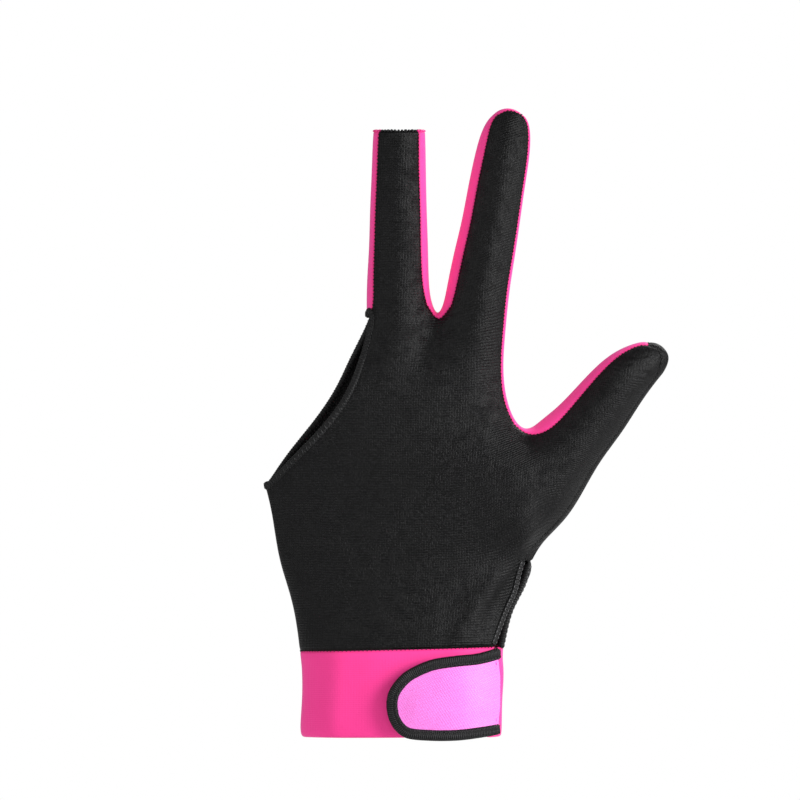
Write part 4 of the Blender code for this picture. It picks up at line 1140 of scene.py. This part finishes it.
def black_knit(name, dark, light):
    """Fine stretch knit: broken courses across the hand, faint wales, and painted shade with a little wear along
    the seams and edges.
    """
    finish = Finish(name, 0.42, specular=0.16)
    course = finish.field("course") + (finish.noise(0.006, 1.0) - 0.5) * 0.0007
    rib = course.wave(RIB_PITCH)
    wale = finish.field("wale").wave(WALE_PITCH)
    grain = finish.noise(0.00050, 3.0)
    patches = finish.noise(0.0035, 2.0).ramp(0.35, 0.70)
    broad = finish.noise(0.020, 2.0)
    ribbed = rib * (patches * 0.8 + 0.2)
    shade = ribbed * 0.26 + wale * 0.05 + (grain - 0.5) * 2.6 + (broad - 0.5) * 0.3 + 0.30
    # Darker within about a millimetre of seams and free edges: painted shade where the cloth dips into its
    # seams, and a little wear.
    seam_shade_and_wear = finish.field("seam").ramp(0.0, 0.0011)
    shade = shade * (seam_shade_and_wear * 0.5 + 0.5)
    finish.colour(shade.ramp(0.0, 1.0), dark, light)
    finish.roughness(rib * 0.03 + (grain - 0.5) * 0.20 + 0.42)
    finish.bump(ribbed * 0.6 + wale * 0.2 + (grain - 0.5) * 2.0, 0.00013, 0.9)
    return finish.material


def pink_jersey(name, deep, bright, bump_depth):
    """Smooth stretch jersey with a fine grain, darker along its seams and edges with painted shade and a little
    wear.
    """
    finish = Finish(name, 0.60, specular=0.20, sheen=0.35, sheen_roughness=0.45, sheen_tint=(1.0, 0.45, 0.95))
    grain = finish.noise(0.00040, 3.0)
    broad = finish.noise(0.014, 2.0)
    rib = finish.field("course").wave(0.00060)
    wale = finish.field("wale").wave(0.00045)
    # Towards the deep colour near seams and free edges: painted shade where the cloth dips, and a little wear.
    seam = finish.field("seam").ramp(0.0, 0.0012)
    shade = seam * 0.45 + (broad - 0.5) * 0.30 + (grain - 0.5) * 0.30 + rib * 0.03 + 0.42
    finish.colour(shade.ramp(0.0, 1.0), deep, bright)
    finish.roughness((grain - 0.5) * 0.15 + 0.58)
    finish.bump(rib * 0.3 + wale * 0.3 + (grain - 0.5) * 1.2, bump_depth, 0.6)
    return finish.material


def strap_twill(name):
    """Satin strap fabric with a fine slanting twill and small dots of shade along it."""
    finish = Finish(name, 0.42, specular=0.4, sheen=0.25, sheen_roughness=0.3, sheen_tint=(1.0, 0.8, 1.0))
    along, up = finish.field("along"), finish.field("up")
    twill = (along + up * 1.7).wave(0.0011)
    cross = (along * 1.6 - up).wave(0.0013)
    grain = finish.noise(0.0005, 3.0)
    broad = finish.noise(0.012, 2.0)
    shade = twill * cross * 0.28 + (grain - 0.5) * 0.35 + (broad - 0.5) * 0.25 + 0.62
    # Pale lilac pink, lighter and more violet than the cuff's pink: painted light standing for the strong lamp
    # on the strap.
    finish.colour(shade.ramp(0.0, 1.0), (0.80, 0.085, 0.46), (0.92, 0.26, 0.80))
    finish.roughness(twill * 0.05 + 0.44)
    finish.bump(twill * 0.6 + cross * 0.4 + (grain - 0.5), 0.00007, 0.7)
    return finish.material


def black_elastic(name, dark, light, pitch):
    """Ribbed elastic or binding tape, its fine cords running across it."""
    finish = Finish(name, 0.48, specular=0.25)
    cord = finish.field("along").wave(pitch)
    grain = finish.noise(0.0004, 3.0)
    shade = cord * 0.25 + (grain - 0.5) * 0.8 + 0.4
    finish.colour(shade.ramp(0.0, 1.0), dark, light)
    finish.roughness((grain - 0.5) * 0.2 + 0.55)
    finish.bump(cord * 0.8 + (grain - 0.5) * 0.6, 0.00010, 0.8)
    return finish.material


def thread_finish(name, dark, light):
    """Sewing thread, a little uneven in shade."""
    finish = Finish(name, 0.42, specular=0.30)
    grain = finish.noise(0.0003, 2.0)
    finish.colour(grain.ramp(0.3, 0.7), dark, light)
    finish.bump(grain, 0.00004, 0.6)
    return finish.material


def hook_tape(name):
    """Hook tape: rows of tiny stiff hooks on a woven ground."""
    finish = Finish(name, 0.5)
    along, up = finish.field("along"), finish.field("up")
    hooks = along.wave(0.0012) * up.wave(0.0012)
    finish.colour(hooks.ramp(-0.2, 0.8), (0.010, 0.010, 0.011), (0.05, 0.05, 0.052))
    finish.bump(hooks, 0.0003, 0.8)
    return finish.material


def paper(name, colour):
    """A plain matt surface with a very faint mottle."""
    finish = Finish(name, 0.9, specular=0.1)
    finish.colour(finish.noise(0.25, 2.0), colour, tuple(c * 0.985 for c in colour))
    return finish.material


def make_finishes():
    """Every material by its short name."""
    pink_deep, pink_bright = (0.80, 0.018, 0.17), (0.98, 0.050, 0.31)
    return {
        "black_fabric": black_knit("black_knit", (0.0006, 0.0006, 0.0007), (0.0080, 0.0080, 0.0085)),
        "pink_fabric": pink_jersey("pink_jersey", pink_deep, pink_bright, 0.00006),
        # The side strips get their own copy of the pink with a deeper dark end: painted shade for strips that
        # turn away from the light.
        "side_strips": pink_jersey("pink_side_strips", (0.72, 0.012, 0.14), (0.97, 0.060, 0.33), 0.00005),
        "strap_fabric": strap_twill("strap_twill"),
        "hem_tape": black_elastic("hem_tape", (0.0015, 0.0015, 0.0017), (0.008, 0.008, 0.0085), 0.0009),
        "slit_tape": black_elastic("slit_tape", (0.0015, 0.0015, 0.0017), (0.009, 0.009, 0.0095), 0.0008),
        "strap_elastic": black_elastic(
            "strap_elastic", (0.0010, 0.0010, 0.0012), (0.007, 0.007, 0.0075), 0.00062
        ),
        "black_thread": thread_finish("black_thread", (0.002, 0.002, 0.0022), (0.012, 0.012, 0.013)),
        # Grey thread, lighter than the black: painted glint for the light that the slit's black topstitching
        # catches.
        "light_thread": thread_finish("light_black_thread", (0.04, 0.04, 0.042), (0.15, 0.15, 0.155)),
        "pink_thread": thread_finish("pink_thread", (0.75, 0.02, 0.18), (0.98, 0.07, 0.36)),
        # The light end is raised a little: partly painted highlight for the glint along the cords, partly the
        # thread's own unevenness.
        "cord_thread": thread_finish("strap_cord_thread", (0.005, 0.005, 0.0054), (0.028, 0.028, 0.030)),
        "strap_thread": thread_finish("strap_thread", (0.80, 0.06, 0.42), (0.95, 0.25, 0.80)),
        "hook_tape": hook_tape("hook_tape"),
        "floor": paper("pale_floor", (0.86, 0.86, 0.86)),
    }


def cloth_slab(name, outer, inner, material, along, up):
    """A closed solid between two grids of points."""
    rows, columns = outer.shape[:2]
    count = rows * columns
    faces = []
    for i in range(rows - 1):
        for j in range(columns - 1):
            n = i * columns + j
            face = (n, n + 1, n + columns + 1, n + columns)
            faces.append(face)
            faces.append(tuple(m + count for m in reversed(face)))
    rim = [(0, j) for j in range(columns)] + [(i, columns - 1) for i in range(1, rows)]
    rim += [(rows - 1, j) for j in range(columns - 2, -1, -1)] + [(i, 0) for i in range(rows - 2, 0, -1)]
    rim = [i * columns + j for i, j in rim]
    for a, b in zip(rim, rim[1:] + rim[:1]):
        faces.append((b, a, a + count, b + count))
    made = make_object(name, np.vstack([outer.reshape(-1, 3), inner.reshape(-1, 3)]), faces, material)
    store(made, along=np.tile(along.ravel(), 2), up=np.tile(up.ravel(), 2))
    return made


STRAP_POINTS = 220
STRAP_ACROSS = 26
STRAP_CROWN = 0.0006
STRAP_CROWN_REACH = 0.006


def make_strap(oval, finishes, threads):
    """The tongue, slightly crowned, in its ribbed binding with two rows of thread."""

    def raised(path, lift):
        return np.array([oval.at(s, strap_height(oval, s) + lift, z) for s, z in path])

    outline = strap_outline(oval, STRAP_POINTS)
    ends = inset_path(outline, BINDING_WIDTH * TONGUE_EDGE_SHARE)
    marks = [(s, z, 0.0) for s, z in outline[::3]]
    outer, inner, flat = [], [], []
    for n in range(STRAP_POINTS // 2):
        near, far = ends[n], ends[-1 - n]
        line = np.array([near + (far - near) * k / STRAP_ACROSS for k in range(STRAP_ACROSS + 1)])
        edge = distance_to([(s, z, 0.0) for s, z in line], marks)
        crown = [STRAP_CROWN * smooth((d - BINDING_WIDTH) / STRAP_CROWN_REACH) for d in edge]
        outer.append(
            [oval.at(s, strap_height(oval, s) + STRAP_WALL + c, z) for (s, z), c in zip(line, crown)]
        )
        inner.append(raised(line, 0.0))
        flat.append(line)
    along, up = np.moveaxis(np.array(flat), 2, 0)
    tongue = cloth_slab("strap_tongue", np.array(outer), np.array(inner), finishes["strap_fabric"], along, up)
    points = raised(outline, STRAP_WALL)
    normals = (points - raised(outline, 0.0)) / STRAP_WALL
    ahead = raised(inset_path(outline, BINDING_WIDTH), STRAP_WALL)
    inwards = evened((ahead - points) / BINDING_WIDTH, False, 3)
    binding = cloth_band(
        "strap_elastic_binding", (points, inwards, normals), BINDING_WIDTH, BINDING_LIFT, STRAP_WALL, False,
        finishes["strap_elastic"], 20,
    )
    for stitch, share in (("binding_cords", 0.32), ("binding_zigzag", 0.76)):
        line = points + inwards * share * BINDING_WIDTH + normals * (BINDING_LIFT - CORD_SINK)
        threads.row("strap_binding_cords", stitch, line, normals)
    return tongue, binding


def make_hook_patch(oval, finishes):
    """The patch of hook tape between the cuff and the tongue."""
    middle = oval.length_at_x(HOOK_PATCH_PLACE[0] * GLOVE_WIDTH, HOOK_PATCH_CLEARANCE)
    height = HOOK_PATCH_PLACE[1] * GLOVE_HEIGHT
    lengths = np.linspace(middle - HOOK_PATCH_WIDTH / 2.0, middle + HOOK_PATCH_WIDTH / 2.0, 41)
    heights = np.linspace(height - HOOK_PATCH_HEIGHT / 2.0, height + HOOK_PATCH_HEIGHT / 2.0, 27)
    outer, inner = (
        np.array([[oval.at(s, lift, z) for z in heights] for s in lengths])
        for lift in (HOOK_PATCH_CLEARANCE + HOOK_PATCH_WALL, HOOK_PATCH_CLEARANCE)
    )
    along, up = np.meshgrid(lengths, heights, indexing="ij")
    return cloth_slab("hook_tape_patch", outer, inner, finishes["hook_tape"], along, up)


def sew_seams(skin, threads):
    """Threads over each seam: dark ones bite into the pink side strips, and the rest stay fine."""
    for pieces, runs in seam_runs(skin).items():
        for run in runs:
            points, normals = skin.points[run], skin.normals[run]
            if "cuff" in pieces:
                stitch = "cuff_seam"
            elif any("fourchette" in name for name in pieces):
                stitch = "toothed_seam" if points[:, 0].mean() < MIDDLE_FINGER_SIDE else "smooth_seam"
            else:
                stitch = "panel_seam"
            threads.row("seam_threads_black", stitch, points - normals * SEAM_DIP * THREAD_SINK, normals)


def sew_hem(skin, finishes, threads):
    """Overlock threads over the hem of the opening for the ring and little fingers."""
    edge = edge_frame(skin, skin.opening_loop, True)
    hem = cloth_band("opening_hem_band", edge, HEM_WIDTH, HEM_LIFT, FABRIC_WALL, True, finishes["hem_tape"])
    points, inwards, normals = edge
    for side, height in ((1.0, HEM_LIFT - HEM_SINK), (-1.0, -FABRIC_WALL - HEM_LIFT + HEM_SINK)):
        middle = points + inwards * 0.50 * HEM_WIDTH + normals * height
        threads.row("hem_threads", "hem_zigzag", middle, normals * side, True)
        lock = points + inwards * 0.94 * HEM_WIDTH + normals * (height - side * HEM_LIFT * 0.7)
        threads.row("hem_threads", "hem_lock", lock, normals * side, True)
    outer = points + inwards * 0.0001 - normals * FABRIC_WALL / 2.0
    threads.row("hem_threads", "hem_edge", outer, -inwards, True)
    return hem


def sew_slit(skin, finishes, threads):
    """Both bound edges of the slit, each with two rows of topstitching."""
    bands = []
    for layer, _ in LAYERS:
        edge = edge_frame(skin, skin.slit_runs[layer + "_panel"], False, SLIT_BINDING_TRIM)
        sizes = (SLIT_BINDING_WIDTH, SLIT_BINDING_LIFT, FABRIC_WALL)
        bands.append(cloth_band("slit_tape_" + layer, edge, *sizes, False, finishes["slit_tape"]))
        points, inwards, normals = edge
        for across in TOPSTITCH_PLACES:
            line = points + inwards * across * SLIT_BINDING_WIDTH + normals * (SLIT_BINDING_LIFT * 0.90)
            threads.row("slit_topstitching", "topstitch", line[1:-1], normals[1:-1])
    return bands


def sew_tip(skin, threads):
    """Overcast edge of the middle finger's open tip, black over the panels and pink over the side strips."""
    loop = max(skin.loops, key=lambda run: skin.points[run][:, 2].min())
    points, inwards, normals = edge_frame(skin, loop, True)
    pink = ["fourchette" in skin.owners[skin.border[edge]] for edge in zip(loop, loop[1:] + loop[:1])]
    count = len(loop)
    first = next(n for n in range(count) if pink[n] != pink[n - 1])
    start = 0
    while start < count:
        stop = start
        while stop < count and pink[(first + stop) % count] == pink[(first + start) % count]:
            stop += 1
        run = [(first + n) % count for n in range(start, stop + 1)]
        middle = points[run] - normals[run] * FABRIC_WALL / 2.0 - inwards[run] * 0.00002
        name = "tip_threads_pink" if pink[(first + start) % count] else "tip_threads_black"
        threads.row(name, "tip_overcast", middle, -inwards[run])
        start = stop


def sew_strap_end(oval, threads):
    """The row that sews the strap's end to the cuff."""
    end = oval.sewn_length + STRAP_END_INSET
    _, top, low = STRAP_ROWS[0]
    heights = np.linspace(top * GLOVE_HEIGHT - 0.0012, low * GLOVE_HEIGHT + 0.0012, 60)
    lift = STRAP_SEWN_CLEARANCE + STRAP_WALL + 0.00012
    line = np.array([oval.at(end, lift, z) for z in heights])
    base = np.array([oval.at(end, lift - 0.001, z) for z in heights])
    threads.row("strap_end_threads", "strap_end", line, (line - base) / 0.001)


def add_camera():
    """A level camera in front of the back of the hand."""
    data = bpy.data.cameras.new("camera")
    data.lens, data.sensor_width = SENSOR_MM * VIEW_DISTANCE / VIEW_SIZE, SENSOR_MM
    camera = bpy.data.objects.new("camera", data)
    camera.location = (VIEW_MIDDLE_X, -VIEW_DISTANCE, VIEW_MIDDLE_Z)
    camera.rotation_euler = (math.radians(90.0), 0.0, 0.0)
    bpy.context.scene.collection.objects.link(camera)
    bpy.context.scene.camera = camera


def add_light(name, place, aim, size, power):
    """A round soft lamp turned towards a point."""
    data = bpy.data.lights.new(name, "AREA")
    data.shape, data.size, data.energy = "DISK", size, power
    light = bpy.data.objects.new(name, data)
    light.location = place
    way = mathutils.Vector(aim) - mathutils.Vector(place)
    light.rotation_euler = way.to_track_quat("-Z", "Y").to_euler()
    bpy.context.scene.collection.objects.link(light)


def add_studio(finishes):
    """A pale floor, a white room and soft lamps, the strongest at the thumb's side."""
    for name, position, aim_height, size, power in LAMPS:
        add_light(name, position, (0.0, 0.0, aim_height), size, power)
    world = bpy.data.worlds.new("white_room")
    bpy.context.scene.world = world
    world.use_nodes = True
    tree = world.node_tree
    room = tree.nodes["Background"]
    room.inputs["Color"].default_value = (1.0, 1.0, 1.0, 1.0)
    rays = add_node(tree, "ShaderNodeLightPath").outputs["Is Camera Ray"]
    values = {0: rays, 1: 1.0 - WORLD_LIGHT, 2: WORLD_LIGHT}
    brightness = add_node(tree, "ShaderNodeMath", values, operation="MULTIPLY_ADD")
    tree.links.new(brightness.outputs[0], room.inputs["Strength"])
    corners = [(-FLOOR_REACH, -FLOOR_REACH), (FLOOR_REACH, -FLOOR_REACH)]
    corners += [(-x, -y) for x, y in corners]
    floor = make_object(
        "floor",
        [(x, y, FLOOR_HEIGHT - drop) for drop in (0.0, FLOOR_WALL) for x, y in corners],
        [(0, 1, 2, 3), (7, 6, 5, 4), (1, 0, 4, 5), (2, 1, 5, 6), (3, 2, 6, 7), (0, 3, 7, 4)],
        finishes["floor"],
    )
    floor.data.polygons.foreach_set("use_smooth", [False] * 6)
    bpy.context.scene.view_settings.view_transform = "Standard"


SLOTS = {
    "back_panel": "black_fabric",
    "palm_panel": "black_fabric",
    "fourchette_outer_middle": "pink_fabric",
    "fourchette_middle_index": "pink_fabric",
    "fourchette_index_thumb": "pink_fabric",
    "cuff": "pink_fabric",
}



def main():
    """Makes the pieces, and says what each rides on and replaces."""
    add_camera()
    finishes = make_finishes()
    skin = Skin(SKIN_LEVELS)
    settle_normals(skin, 2)
    threads = Threads(finishes)
    made = []
    for name in sorted({PIECE_OF.get(owner, owner) for owner in skin.names}):
        wall = CUFF_WALL if name == "cuff" else FABRIC_WALL
        # Side strips take the copy of the pink that carries painted shade.
        material = finishes["side_strips" if "fourchette" in name else SLOTS[name]]
        made.append((cloth_panel(name, skin, wall, material), name, SLOTS[name]))
    made.append((sew_hem(skin, finishes, threads), "opening_hem", "black_binding"))
    for (layer, _), band in zip(LAYERS, sew_slit(skin, finishes, threads)):
        made.append((band, "slit_binding_" + layer, "black_binding"))
    oval = WristOval()
    tongue, binding = make_strap(oval, finishes, threads)
    made.append((tongue, "strap", "strap_fabric"))
    made.append((binding, "strap_binding", "black_binding"))
    made.append((make_hook_patch(oval, finishes), "hook_patch", "hook_tape"))
    sew_seams(skin, threads)
    sew_tip(skin, threads)
    sew_strap_end(oval, threads)
    for piece, node, slot in made:
        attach(piece, "root")
        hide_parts(node)
    for piece in threads.gather():
        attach(piece, "root")
    add_studio(finishes)


main()
